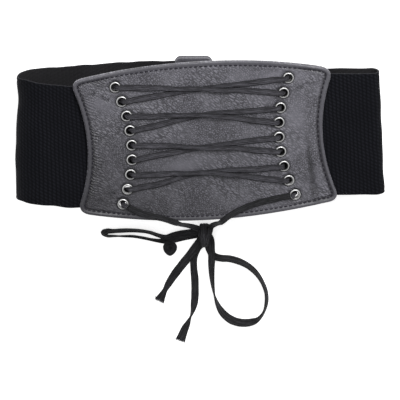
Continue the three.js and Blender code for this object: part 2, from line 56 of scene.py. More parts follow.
def makeCamera():
    lean = math.radians(view["lean"])
    right = Vector((1, 0, 0))
    up = Vector((0, math.cos(lean), -math.sin(lean)))
    back = Vector((0, math.sin(lean), math.cos(lean)))
    place = Vector(view["looksAt"]) + back * view["distance"]
    data = bpy.data.cameras.new("camera")
    data.sensor_width = view["sensor"]
    data.lens = view["sensor"] * view["distance"] / view["widthSeen"]
    data.clip_end = 60
    camera = bpy.data.objects.new("camera", data)
    camera.matrix_world = Matrix.Translation(place) @ Matrix((right, up, back)).transposed().to_4x4()
    bpy.context.scene.collection.objects.link(camera)
    bpy.context.scene.camera = camera
    bpy.context.scene.view_settings.view_transform = "Standard"


makeCamera()
print("camera placed")


# Mesh helpers


def facingOut(points, quads, triangles):
    # Faces are turned to point out by the sign of the volume that they enclose.
    split = np.vstack([quads[:, [0, 1, 2]], quads[:, [0, 2, 3]], triangles])
    a, b, c = (points[split[:, k]] - points.mean(0) for k in range(3))
    if np.einsum("ij,ij->i", a, np.cross(b, c)).sum() < 0:
        return quads[:, ::-1], triangles[:, ::-1]
    return quads, triangles


def joined(parts):
    # Several closed shells (points, quads, triangles, uv) as the arrays of one piece.
    points, quads, triangles, uvs, first = [], [], [], [], 0
    for part, q, t, uv in parts:
        q, t = facingOut(part, q, t)
        points.append(part)
        quads.append(q + first)
        triangles.append(t + first)
        uvs.append(uv)
        first += len(part)
    return np.vstack(points), np.vstack(quads), np.vstack(triangles), np.vstack(uvs)


def addValues(mesh, name, values):
    # One number for each point, under a name that materials can read.
    values = np.asarray(values, np.float32).ravel()
    mesh.attributes.new(name, "FLOAT", "POINT").data.foreach_set("value", values)


def makePiece(name, points, quads, triangles=None, uv=None, shade=None, checked=False):
    points = np.asarray(points, np.float64).reshape(-1, 3)
    quads = np.asarray(quads, np.int32).reshape(-1, 4)
    triangles = np.zeros((0, 3), np.int32) if triangles is None else np.asarray(triangles, np.int32)
    if not checked:
        quads, triangles = facingOut(points, quads, triangles)
    loops = np.concatenate([quads.ravel(), triangles.ravel()]).astype(np.int32)
    sizes = np.concatenate([np.full(len(quads), 4), np.full(len(triangles), 3)])
    starts = np.concatenate([[0], np.cumsum(sizes)[:-1]]).astype(np.int32)
    mesh = bpy.data.meshes.new(name)
    mesh.vertices.add(len(points))
    mesh.vertices.foreach_set("co", points.astype(np.float32).ravel())
    mesh.loops.add(len(loops))
    mesh.loops.foreach_set("vertex_index", loops)
    mesh.polygons.add(len(sizes))
    mesh.polygons.foreach_set("loop_start", starts)
    mesh.polygons.foreach_set("use_smooth", np.ones(len(sizes), bool))
    mesh.update(calc_edges=True)
    if uv is not None:
        layer = mesh.uv_layers.new(name="surface")
        layer.data.foreach_set("uv", np.asarray(uv, np.float32).reshape(-1, 2)[loops].ravel())
    if shade is not None:
        addValues(mesh, "shade", shade)
    piece = bpy.data.objects.new(name, mesh)
    bpy.context.scene.collection.objects.link(piece)
    return piece


def gridQuads(rows, columns, wrapRows=False, wrapColumns=False):
    # Quads between neighbouring rows and columns of points numbered row by row.
    r = np.arange(rows if wrapRows else rows - 1)
    c = np.arange(columns if wrapColumns else columns - 1)
    r, c = np.meshgrid(r, c, indexing="ij")
    here, after = r * columns, (r + 1) % rows * columns
    right = (c + 1) % columns
    return np.stack([here + c, after + c, after + right, here + right], -1).reshape(-1, 4)


def fan(pole, ring, turned=False):
    # Triangles from a pole to a closed ring of point numbers.
    after = np.roll(ring, -1)
    order = [np.full(len(ring), pole), after, ring] if turned else [np.full(len(ring), pole), ring, after]
    return np.stack(order, -1)


def cappedGrid(rows, columns, turned=False):
    # A grid closed round its columns, with a fan at each end to the two poles numbered after it.
    ring, pole = np.arange(columns), rows * columns
    ends = [fan(pole, ring, not turned), fan(pole + 1, ring + (rows - 1) * columns, turned)]
    return gridQuads(rows, columns, wrapColumns=True), np.vstack(ends)


def withPoles(values):
    # Numbers of a capped grid's points, with 0 for its two poles.
    return np.concatenate([values.reshape(-1), [0, 0]])


def evenTurn(count):
    return np.arange(count) / count * 2 * math.pi


def unit(v):
    return v / np.maximum(np.linalg.norm(v, axis=-1, keepdims=True), 1e-12)


def ease(a, b, x):
    # 0 before a, 1 after b, smooth between.
    f = np.clip((np.asarray(x, float) - a) / (b - a), 0, 1)
    return f * f * (3 - 2 * f)


def bump(x, middle, width):
    # 1 at the middle, falling off as a bell of that width.
    return np.exp(-(((x - middle) / width) ** 2))


def ripple(x, y, size, seed, waves=9):
    # Soft noise from -1 to 1: a sum of plane waves in chosen random directions, about `size` long.
    rng = np.random.default_rng(seed)
    angles, phases = rng.uniform(0, math.pi, waves), rng.uniform(0, 6.283, waves)
    total = 0
    for angle, phase, stretch in zip(angles, phases, rng.uniform(0.7, 1.5, waves)):
        k = 2 * math.pi / (size * stretch)
        total = total + np.cos(k * (x * math.cos(angle) + y * math.sin(angle)) + phase)
    return total / math.sqrt(waves) / 1.6


def sweep(path, across, face, x, y):
    # A closed section (x across, y out of the face) carried along a path, with both ends closed.
    body = path[:, None] + across[:, None] * x[..., None] + face[:, None] * y[..., None]
    rows, columns = body.shape[:2]
    points = np.concatenate([body.reshape(-1, 3), path[:1], path[-1:]])
    return points, *cappedGrid(rows, columns)


def smoothPath(rows, step):
    # A cubic curve through the rows of a table, with slopes weighed by the distances between rows,
    # cut to even steps along its first three columns.
    p = np.array(rows, float)
    h = np.linalg.norm(np.diff(p[:, :3], axis=0), axis=1)[:, None]
    slope = np.diff(p, axis=0) / h
    inner = (h[:-1] * slope[1:] + h[1:] * slope[:-1]) / (h[:-1] + h[1:])
    m = np.vstack([slope[:1], inner, slope[-1:]])
    t = np.linspace(0, 1, 40, endpoint=False)[None, :, None]
    a, b, h = p[:-1, None], p[1:, None], h[:, None]
    curve = (1 + 2 * t) * (1 - t) ** 2 * a + t * (1 - t) ** 2 * h * m[:-1, None]
    curve = curve + t * t * (3 - 2 * t) * b + t * t * (t - 1) * h * m[1:, None]
    curve = np.vstack([curve.reshape(-1, p.shape[1]), p[-1]])
    along = np.concatenate([[0], np.cumsum(np.linalg.norm(np.diff(curve[:, :3], axis=0), axis=1))])
    even = np.linspace(0, along[-1], max(3, round(along[-1] / step) + 1))
    return np.stack([np.interp(even, along, column) for column in curve.T], -1), even


# Flat lace: section, free routes and what lies at each cord's far end

lacing = {
    "width": 0.0060,
    "thickness": 0.0015,
    "around": 28,
    "step": 0.0007,
    "ridgeDepth": 0.34,  # share of the thickness
    "colour": (0.0135, 0.0135, 0.0152),
    # a lighter copy of the lace's colour for the knot: painted light against its own shade
    "knotColour": (0.028, 0.0275, 0.031),
    "litColour": (0.040, 0.039, 0.0455),  # a lighter copy for the strands on the panel: painted light
    "weave": 0.0011,  # one plait along the lace
}


def tapeSection(spread):
    # A flattened tube: half width by cosine, half thickness by sine, both squared off,
    # with three ridges along its length. A squeezed tape is thicker.
    a = evenTurn(lacing["around"])
    x = np.sign(np.cos(a)) * np.abs(np.cos(a)) ** 0.6
    ridges = 1 - lacing["ridgeDepth"] * (0.5 - 0.5 * np.cos(3 * math.pi * x))
    y = 0.5 * np.sign(np.sin(a)) * np.abs(np.sin(a)) ** 0.55 * ridges
    thick = lacing["thickness"] * (1 + 0.5 * np.clip(1 - spread, -0.2, 0.4))
    return x[None] * lacing["width"] / 2 * spread[:, None], y[None] * thick[:, None], x


def tapePiece(name, path, across, spread, along):
    heading = unit(np.gradient(path, axis=0))
    across = unit(across - heading * np.sum(across * heading, -1, keepdims=True))
    face = np.cross(heading, across)
    x, y, share = tapeSection(spread)
    points, quads, ends = sweep(path, across, face, x, y)
    uv = np.stack(np.broadcast_arrays(along[:, None], share[None]), -1).reshape(-1, 2)
    uv = np.vstack([uv, [[along[0], 0], [along[-1], 0]]])
    return makePiece(name, points, quads, ends, uv)


# From the belt to the far end: the lace's middle, the roll of its width from level in degrees,
# and the share of its full width.
freeRoutes = {
    "lace_end_left": [
        (-0.0509, -0.0578, 0.0433, 0, 0.8),
        (-0.0466, -0.0606, 0.0424, 0, 0.85),
        (-0.0410, -0.0634, 0.0419, 0, 0.85),
        (-0.0334, -0.0657, 0.0419, 0, 0.85),
        (-0.0255, -0.0676, 0.0420, 0, 0.8),
        (-0.0199, -0.0693, 0.0417, 0, 0.8),
        (-0.0153, -0.0711, 0.0414, 0, 0.8),
        (-0.0124, -0.0727, 0.0399, 12, 0.8),
        (-0.0100, -0.0753, 0.0340, 22, 0.8),
        (-0.0074, -0.0778, 0.0276, 20, 0.8),
        (-0.0020, -0.0827, 0.0160, 10, 0.8),
        (0.0015, -0.0856, 0.0105, 0, 0.8),
        (0.0054, -0.0886, 0.0065, 0, 0.8),
    ],
    "lace_end_right": [
        (0.0760, -0.0527, 0.0303, 0, 0.8),
        (0.0673, -0.0546, 0.0304, 0, 0.85),
        (0.0560, -0.0567, 0.0319, 0, 0.85),
        (0.0447, -0.0598, 0.0334, 0, 0.8),
        (0.0373, -0.0626, 0.0345, 0, 0.8),
        (0.0307, -0.0659, 0.0364, 0, 0.8),
        (0.0257, -0.0691, 0.0373, 0, 0.8),
        (0.0230, -0.0715, 0.0370, 0, 0.8),
        (0.0212, -0.0743, 0.0329, 0, 0.8),
        (0.0195, -0.0769, 0.0262, 0, 0.8),
        (0.0176, -0.0797, 0.0192, 0, 0.8),
        (0.0153, -0.0832, 0.0120, 0, 0.8),
        (0.0124, -0.0866, 0.0075, 0, 0.8),
    ],
    "bow_loop_left": [
        (0.0055, -0.0913, 0.0036, 0, 0.95),
        (-0.0035, -0.0925, 0.0030, 0, 1),
        (-0.0098, -0.0935, 0.0027, 0, 1),
        (-0.0161, -0.0947, 0.0034, 20, 0.9),
        (-0.0216, -0.0959, 0.0039, 55, 0.85),
        (-0.0275, -0.0946, 0.0033, 78, 0.95),
        (-0.0342, -0.0922, 0.0032, 84, 1),
        (-0.0421, -0.0908, 0.0032, 81, 1),
        (-0.0499, -0.0904, 0.0032, 79, 1),
        (-0.0578, -0.0906, 0.0032, 77, 1),
        (-0.0637, -0.0910, 0.0032, 76, 1),
        (-0.0682, -0.0912, 0.0031, 62, 1),
        (-0.0712, -0.0930, 0.0028, 45, 1.05),
        (-0.0684, -0.0949, 0.0030, 54, 1),
        (-0.0633, -0.0951, 0.0031, 62, 1),
        (-0.0562, -0.0952, 0.0032, 78, 1),
        (-0.0483, -0.0953, 0.0032, 85, 1),
        (-0.0405, -0.0965, 0.0032, 88, 1),
        (-0.0331, -0.0981, 0.0032, 90, 0.95),
        (-0.0263, -0.0992, 0.0030, 108, 0.9),
        (-0.0204, -0.0993, 0.0024, 140, 0.85),
        (-0.0145, -0.0982, 0.0013, 170, 0.95),
        (-0.0086, -0.0968, 0.0008, 180, 1),
        (0.0055, -0.0942, 0.0012, 180, 0.9),
    ],
    "bow_loop_right": [
        (0.0104, -0.0905, 0.0059, 10, 0.9),
        (0.0132, -0.0975, 0.0046, 15, 1.1),
        (0.0129, -0.1036, 0.0038, 10, 1.35),
        (0.0143, -0.1106, 0.0037, 10, 1.02),
        (0.0142, -0.1176, 0.0034, 20, 0.95),
        (0.0143, -0.1257, 0.0029, 38, 0.95),
        (0.0150, -0.1347, 0.0030, 55, 0.95),
        (0.0165, -0.1442, 0.0031, 85, 0.95),
        (0.0193, -0.1528, 0.0032, 120, 1),
        (0.0244, -0.1609, 0.0024, 150, 1.05),
        (0.0314, -0.1662, 0.0018, 165, 1.1),
        (0.0393, -0.1681, 0.0016, 170, 1.1),
        (0.0471, -0.1670, 0.0016, 190, 1.05),
        (0.0524, -0.1632, 0.0029, 230, 0.95),
        (0.0559, -0.1579, 0.0030, 250, 0.9),
        (0.0577, -0.1508, 0.0030, 240, 0.95),
        (0.0575, -0.1425, 0.0031, 245, 0.95),
        (0.0548, -0.1344, 0.0031, 245, 0.95),
        (0.0501, -0.1266, 0.0030, 238, 0.95),
        (0.0436, -0.1204, 0.0028, 228, 0.95),
        (0.0358, -0.1163, 0.0026, 220, 0.95),
        (0.0279, -0.1142, 0.0023, 212, 0.95),
        (0.0212, -0.1139, 0.0017, 200, 0.95),
        (0.0160, -0.1123, 0.0011, 186, 0.95),
        (0.0134, -0.1076, 0.0008, 180, 0.9),
        (0.0114, -0.0970, 0.0013, 180, 0.85),
    ],
    "bow_tail_left": [
        (0.0064, -0.0970, 0.0038, 0, 1.05),
        (0.0013, -0.1052, 0.0032, 0, 1.2),
        (-0.0036, -0.1119, 0.0028, 0, 1.15),
        (-0.0094, -0.1199, 0.0016, 0, 1.15),
        (-0.0149, -0.1277, 0.0009, 0, 1.1),
        (-0.0196, -0.1352, 0.0009, 0, 0.95),
        (-0.0227, -0.1409, 0.0012, 10, 0.7),
        (-0.0249, -0.1453, 0.0009, 0, 1),
        (-0.0268, -0.1490, 0.0009, 0, 1.3),
    ],
    "bow_tail_right": [
        (0.0078, -0.0996, 0.0016, 0, 1.05),
        (0.0023, -0.1076, 0.0010, 0, 0.95),
        (0.0003, -0.1142, 0.0009, 0, 0.95),
        (0.0002, -0.1220, 0.0013, 10, 0.95),
        (0.0010, -0.1313, 0.0009, 0, 1),
        (0.0012, -0.1404, 0.0009, 0, 1),
        (0.0009, -0.1490, 0.0009, 0, 1),
        (-0.0002, -0.1555, 0.0025, 45, 0.9),
        (-0.0017, -0.1607, 0.0027, 85, 0.8),
        (-0.0042, -0.1666, 0.0026, 135, 0.9),
        (-0.0073, -0.1742, 0.0009, 180, 1.05),
        (-0.0102, -0.1822, 0.0009, 180, 1.25),
    ],
}


def freeLace(node):
    curve, along = smoothPath(freeRoutes[node], lacing["step"])
    path, roll, spread = curve[:, :3], np.radians(curve[:, 3]), curve[:, 4]
    seed = sorted(freeRoutes).index(node)
    wobble = ripple(along, 0 * along, 0.021, seed + 3)
    inside = ease(0, 0.006, along) * ease(0, 0.006, along[-1] - along)
    roll = roll + np.radians(3) * wobble * inside * (np.abs(np.sin(roll)) > 0.3)
    spread = spread * (1 + 0.03 * ripple(along, 0 * along, 0.009, seed + 20) * inside)
    heading = unit(np.gradient(path, axis=0))
    level = unit(np.cross(upward, heading))
    across = level * np.cos(roll)[:, None] + upward * np.sin(roll)[:, None]
    piece = tapePiece(node + "_tape", path, across, spread, along)
    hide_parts(node)
    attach(piece, "root")
    return piece, path, along[-1]


# name: what is at its far end, how it lies
freeEnds = {
    "lace_end_left": ("knot", "hanging"),
    "lace_end_right": ("knot", "hanging"),
    "bow_loop_left": ("knot", "loose"),
    "bow_loop_right": ("knot", "loose"),
    "bow_tail_left": ("bare", "loose"),
    "bow_tail_right": ("bare", "loose"),
}
laces = {}
cordFacts = {}
for node in freeRoutes:
    laces[node], route, length = freeLace(node)
    cordFacts[node] = (route, length)
    print("lace", node, round(length, 4))


# The belt's own shape, in millimetres, as in its solids

belt = {
    "bandThickness": 1.6,
    "leftReach": 139.0,
    "rightReach": 148.0,
    "leftFoldHeight": 44.0,
    "rightFoldHeight": 17.0,
    "frontCrown": 2.5,
    "tabThickness": 2.4,
    "tabWidth": 29.5,
    "reliefLength": 28.0,
    "clearance": 0.3,
    "panelFromClosure": 9.0,
    "panelRise": 0.5,
}
leftRadius = (belt["leftFoldHeight"] - belt["bandThickness"]) / 2
rightRadius = (belt["rightFoldHeight"] - belt["bandThickness"]) / 2
leftCentre = np.array([-belt["leftReach"] + belt["leftFoldHeight"] / 2, belt["leftFoldHeight"] / 2])
rightCentre = np.array([belt["rightReach"] - belt["rightFoldHeight"] / 2, belt["rightFoldHeight"] / 2])
foldsApart = float(np.linalg.norm(rightCentre - leftCentre))
centresSlope = math.atan2(rightCentre[1] - leftCentre[1], rightCentre[0] - leftCentre[0])
frontSlope = centresSlope + math.asin((rightRadius - leftRadius) / foldsApart)
frontAngle = math.pi / 2 + frontSlope
frontStart = leftCentre + leftRadius * np.array([math.cos(frontAngle), math.sin(frontAngle)])
frontLength = math.sqrt(foldsApart**2 - (leftRadius - rightRadius) ** 2)
leftFoldStart = -leftCentre[0]
leftFoldEnd = leftFoldStart + leftRadius * (1.5 * math.pi - frontAngle)
rightFoldStart = leftFoldEnd + frontLength
rightFoldEnd = rightFoldStart + rightRadius * (frontAngle + math.pi / 2)
loopLength = rightFoldEnd + rightCentre[0]
panelAlong = leftFoldEnd + (belt["panelFromClosure"] - frontStart[0]) / math.cos(frontSlope)

# along the loop, shift towards the top edge, lean in degrees
sitting = np.array([
    (0, 0, 0),
    (leftFoldStart * 0.2, -0.5, 0),
    (leftFoldStart * 0.56, -2.9, 0),
    (leftFoldStart * 0.94, -6.5, -0.3),
    (leftFoldStart + 0.44 * (leftFoldEnd - leftFoldStart), -7.6, -0.5),
    (leftFoldStart + 0.73 * (leftFoldEnd - leftFoldStart), -5.6, 0),
    (leftFoldEnd, -6.9, 0.9),
    (panelAlong - 104, -9.35, 3),
    (panelAlong - 57.8, -8.2, 3.5),
    (panelAlong, -6.7, 3.4),
    (panelAlong + 57.8, -5.3, 3.4),
    (panelAlong + 89.9, -5, 3.3),
    (panelAlong + 104, -5.7, 3.1),
    (rightFoldStart + 0.51 * (rightFoldEnd - rightFoldStart), -6.9, 2.8),
    (loopLength - rightCentre[0] * 0.77, -7.3, 1.2),
    (loopLength - rightCentre[0] * 0.43, -2.9, 0.3),
    (loopLength - rightCentre[0] * 0.17, -0.4, 0),
    (loopLength, 0, 0),
])


def sittingAt(along, column):
    # A cubic curve through the table that never overshoots its rows.
    xs, ys = sitting[:, 0], sitting[:, column]
    h = np.diff(xs)
    d = np.diff(ys) / h
    m = np.zeros(len(xs))
    w1, w2 = 2 * h[1:] + h[:-1], h[1:] + 2 * h[:-1]
    same = d[:-1] * d[1:] > 0
    safe = np.where(same, d[:-1], 1), np.where(same, d[1:], 1)
    m[1:-1] = np.where(same, (w1 + w2) / (w1 / safe[0] + w2 / safe[1]), 0)
    k = np.clip(np.searchsorted(xs, along, side="right") - 1, 0, len(xs) - 2)
    t = np.clip((along - xs[k]) / h[k], 0, 1)
    low = (1 + 2 * t) * (1 - t) ** 2 * ys[k] + t * (1 - t) ** 2 * h[k] * m[k]
    return low + t * t * (3 - 2 * t) * ys[k + 1] + t * t * (t - 1) * h[k] * m[k + 1]


def loopMiddle(along):
    # Flat back, left fold, slightly crowned front run, right fold and flat back again.
    s = np.asarray(along, float)
    a = -math.pi / 2 - (s - leftFoldStart) / leftRadius
    b = frontAngle - (s - rightFoldStart) / rightRadius
    run = s - leftFoldEnd
    crown = belt["frontCrown"] * np.sin(math.pi * run / frontLength) ** 2
    back = np.where(s < leftFoldStart, -s, loopLength - s)
    start = belt["tabWidth"] / 2 + 2
    climb = 1 - ease(start, start + belt["reliefLength"], np.abs(back))
    floor = belt["bandThickness"] / 2 + (belt["tabThickness"] + belt["clearance"]) * climb
    where = [s < leftFoldStart, s < leftFoldEnd, s < rightFoldStart, s < rightFoldEnd]
    leftX, leftZ = leftCentre[0] + leftRadius * np.cos(a), leftCentre[1] + leftRadius * np.sin(a)
    rightX, rightZ = rightCentre[0] + rightRadius * np.cos(b), rightCentre[1] + rightRadius * np.sin(b)
    frontX, frontZ = frontStart[0] + run * math.cos(frontSlope), frontStart[1] + run * math.sin(frontSlope)
    x = np.select(where, [back, leftX, frontX, rightX], back)
    return x, np.select(where, [floor, leftZ, frontZ + crown, rightZ], floor)


def beltPoint(along, across, out):
    # Along the loop, across its width and out from the band's middle, into metres.
    along, across, out = np.broadcast_arrays(*(np.asarray(v, float) for v in (along, across, out)))
    x, z = loopMiddle(along)
    x0, z0 = loopMiddle(along - 0.5)
    x1, z1 = loopMiddle(along + 0.5)
    long = np.hypot(x1 - x0, z1 - z0)
    tx, tz = (x1 - x0) / long, (z1 - z0) / long
    lean = np.radians(sittingAt(along, 2))
    place = [x - out * tz - across * np.sin(lean), sittingAt(along, 1) + across * np.cos(lean), z + out * tx]
    return np.stack(place, -1) * mm


def panelPoint(u, v, out):
    # From the front panel's middle: u along the belt, v towards its top edge.
    return beltPoint(panelAlong + np.asarray(u, float), np.asarray(v, float) + belt["panelRise"], out)


def panelAxes(u, v, out=3.5):
    origin = panelPoint(u, v, out)
    up = unit(panelPoint(u, v, out + 1) - origin)
    across = unit(np.cross(up, unit(panelPoint(np.asarray(u) + 1, v, out) - origin)))
    return origin, np.cross(across, up), across, up


# Front panel: a sheet with a raised rim, a stitched groove and laced holes

panel = {
    "height": 130.0,
    "crown": 9.0,
    "waist": 185.0,
    "flare": 8.0,
    "cornerRun": 7.5,
    "cornerDrop": 11.0,
    "under": 1.1,  # its underside, over the band's middle
    "points": 520,  # round the outline
    "rimRings": 30,
    "innerRings": 54,
    "outerShare": 0.84,  # of the inner rings lie in the outer half
    "smallestRing": 0.012,
    "faceHeight": 2.4,
    "holeRadius": 3.5,
    "stitchInset": 3.8,
    "stitchPitch": 3.9,
    "stitchLength": 2.7,
    "stitchRadius": 0.5,
    "waves": 0.35,  # soft unevenness of the face
    "puckers": 0.12,
    "sideGroove": 0.5,  # how much deeper the stitches pull at the curved sides
    "lowShadeTone": (0.50, 0.44),  # painted shade: darker towards the bottom, and more so at its left
}
eyelets = {
    "rows": 9,
    "pitch": 12.0,
    "reach": 57.8,
    "flare": 10.0,
    "holeRadius": 2.8,
    "barrelWall": 0.4,
    "flange": 1.35,
    "flangeHeight": 0.85,
    "crest": 3.85,  # radius that stays bright as a painted highlight, with painted shade on the rest of the ring
    "crestWidth": 0.36,
    "around": 44,
}
# The rim, by rows: inwards from the outline, height over the underside
rimTable = np.array([
    (0.5, 2.5), (0.9, 2.76), (1.5, 2.88), (2.1, 2.84), (2.6, 2.7), (3.0, 2.54), (3.4, 2.38),
    (3.8, 2.3), (4.2, 2.34), (4.7, 2.43), (5.3, 2.5), (6.4, 2.5), (8.0, 2.42), (10.0, 2.4),
])
edgeTable = np.array([(0.6, 0.0), (0.2, 0.1), (0.02, 0.5), (0.0, 1.2), (0.05, 1.9), (0.22, 2.4)])


def panelQuarter():
    endU = panel["waist"] / 2 + panel["flare"] - panel["cornerRun"]
    endV = panel["height"] / 2 - panel["crown"] - panel["cornerDrop"]
    u = np.linspace(0, endU, 200)
    top = np.stack([u, panel["height"] / 2 - panel["crown"] * (u / endU) ** 2], -1)
    v = np.linspace(endV, 0, 120)
    side = np.stack([panel["waist"] / 2 + panel["flare"] * (v / endV) ** 2, v], -1)
    topSlope, sideSlope = -2 * panel["crown"] / endU, 2 * panel["flare"] / endV
    a, c = top[-1], side[0]
    run = (c[0] - a[0] + sideSlope * (a[1] - c[1])) / (1 - sideSlope * topSlope)
    corner = a + run * np.array([1, topSlope])
    t = np.linspace(0, 1, 60)[1:-1, None]
    return np.vstack([top, (1 - t) ** 2 * a + 2 * t * (1 - t) * corner + t * t * c, side])


def evenOutline(outline, count):
    # The closed outline cut to even steps, with its inward normals.
    loop = np.vstack([outline, outline[:1]])
    along = np.concatenate([[0], np.cumsum(np.linalg.norm(np.diff(loop, axis=0), axis=1))])
    even = np.linspace(0, along[-1], count, endpoint=False)
    points = np.stack([np.interp(even, along, column) for column in loop.T], -1)
    heading = unit(np.roll(points, -1, axis=0) - np.roll(points, 1, axis=0))
    return points, np.stack([heading[:, 1], -heading[:, 0]], -1), even, along[-1]


def insetLine(outline, inset):
    # The closed line that lies inset from an outline, as a function of the distance along it.
    points, inward, along, total = outline
    inner = points + inward * inset
    loop = np.vstack([inner, inner[:1]])
    places = np.concatenate([along, [total]])
    return lambda w: [np.interp(w % total, places, loop[:, k]) for k in range(2)]


def panelOutline(count):
    quarter = panelQuarter()
    flip = [np.array(s) for s in ((1, 1), (1, -1), (-1, -1), (-1, 1))]
    parts = [quarter, (quarter * flip[1])[::-1], quarter * flip[2], (quarter * flip[3])[::-1]]
    return evenOutline(np.vstack([p[:-1] for p in parts]), count)


def eyeletPlace(side, row):
    middle = (eyelets["rows"] - 1) / 2
    share = (middle - row) / middle
    return np.array([side * (eyelets["reach"] + eyelets["flare"] * share**2), share * middle * eyelets["pitch"]])


eyeletPlaces = np.array([eyeletPlace(side, row) for side in (-1, 1) for row in range(eyelets["rows"])])


def sideShare(u):
    return ease(62, 84, np.abs(u))


def panelPull(u, v, inset):
    # Where the leather is gathered beside the stitches: most at the left side, least at the top.
    near = ease(3.6, 4.4, inset) * (1 - ease(5.5, 14, inset))
    share = 0.08 + sideShare(u) * np.where(u < 0, 0.92, 0.2)
    return near * share * np.clip(0.75 + 0.5 * ripple(u, v, 24, 8), 0.2, 1)


# Smooth fields of the face: middle along and up, half sizes, how smooth
smoothFields = [
    (-84, 34, 13, 8, 0.75),
    (-20, -20, 20, 9, 0.8),
    (62, 50, 26, 5, 0.7),
    (70, 14, 9, 14, 0.5),
    (-62, -33, 12, 8, 0.5),
]


def panelCalm(u, v, inset):
    # How smooth the grain is: on the rim, and by each field's bump.
    calm = 0.75 * ease(4.6, 3.6, inset)
    for cu, cv, wide, tall, share in smoothFields:
        calm = np.maximum(calm, share * bump(u, cu, wide) * bump(v, cv, tall))
    return calm


# Round each eyelet, by the distance from its middle
dimple = {
    "radius": 4.9,
    "width": 0.75,
    "depth": 0.55,
    "swellRadius": 6.8,
    "swellWidth": 1.2,
    "swell": 0.18,
    "seatRadius": 4.4,  # within it the face lies lower, under the flange
    "seat": 0.2,
    # a thin ring of painted shade round the flange
    "paintedShadeRadius": 4.85,
    "paintedShadeWidth": 0.55,
    "paintedShade": 0.95,
}
# Soft upright creases: place along, middle height, half length, depth, lean
creases = [
    (81.6, -29, 27, 1.2, -0.04),
    (84.4, -42, 5, 0.6, -0.7),
    (80.5, -40, 5, 0.4, -0.7),
    (-82.5, -22, 14, 0.3, 0.0),
]
creaseForm = {
    "width": 2.3,
    "ridgeOff": 4.4,  # a low ridge beside each crease
    "ridgeWidth": 2.2,
    "ridge": 0.5,
    # how dark the painted shade along a crease is, and how wide it lies
    "tone": 0.85,
    "toneWidth": 2.2,
}


def panelRelief(u, v, inset, along, total):
    # Height added to the face, in millimetres, and how dark the painted shade lies there:
    # soft waves, dimples round the eyelets, puckers at the stitches and a few creases.
    face = ease(4.5, 12, inset)
    relief = panel["waves"] * ripple(u, v, 42, 5) * face + 0.12 * ripple(u, v, 13, 6) * face
    shade = np.zeros_like(relief)
    distance = np.sqrt(((np.stack([u, v], -1)[..., None, :] - eyeletPlaces) ** 2).sum(-1)).min(-1)
    d, c = dimple, creaseForm
    relief = relief - d["depth"] * bump(distance, d["radius"], d["width"])
    relief = relief + d["swell"] * bump(distance, d["swellRadius"], d["swellWidth"])
    relief = relief - d["seat"] * (distance < d["seatRadius"])
    # painted shade in a thin ring round each eyelet's flange
    shade = np.maximum(shade, d["paintedShade"] * bump(distance, d["paintedShadeRadius"], d["paintedShadeWidth"]))
    count = round(total / panel["stitchPitch"])
    phase = 2 * math.pi * along * count / total
    stitched = bump(inset, panel["stitchInset"], 1.5)
    relief = relief + panel["puckers"] * np.cos(phase) * stitched
    atSide = sideShare(u)
    groove = bump(inset, panel["stitchInset"] + 0.3 * atSide, 0.8 + 0.3 * atSide)
    relief = relief - panel["sideGroove"] * atSide * groove + 0.3 * atSide * bump(inset, 1.8, 1.1)
    # painted shade in the stitched groove, most at the curved sides
    shade = np.maximum(shade, (0.05 + 0.75 * atSide) * groove)
    # painted shade on the rim at the right side, more so low down
    lowRight = ease(70, 86, u) * ease(-20, 12, -v)
    shade = np.maximum(shade, (0.5 * ease(70, 86, u) + 0.35 * lowRight) * bump(inset, 2.8, 1.1 + 0.3 * lowRight))
    # painted shade over the rim's outer part
    shade = np.maximum(shade, 0.52 * ease(3.6, 3.0, inset))
    for cu, cv, tall, deep, lean in creases:
        line = cu + lean * (v - cv) + 0.6 * ripple(v, 0 * v, 16, 11)
        here = bump(v, cv, tall)
        relief = relief - deep * bump(u, line, c["width"]) * here
        relief = relief + c["ridge"] * deep * bump(u, line + c["ridgeOff"], c["ridgeWidth"]) * here
        # painted shade along each crease
        shade = np.maximum(shade, c["tone"] * min(1, deep) * bump(u, line, c["toneWidth"]) * here)
    # painted shade that grows towards the bottom, and more so at the left
    low = 0.5 - v / panel["height"]
    lowShade = np.clip(low * (panel["lowShadeTone"][0] - panel["lowShadeTone"][1] * u / 93), 0, 0.8)
    return relief, 1 - (1 - shade) * (1 - lowShade)


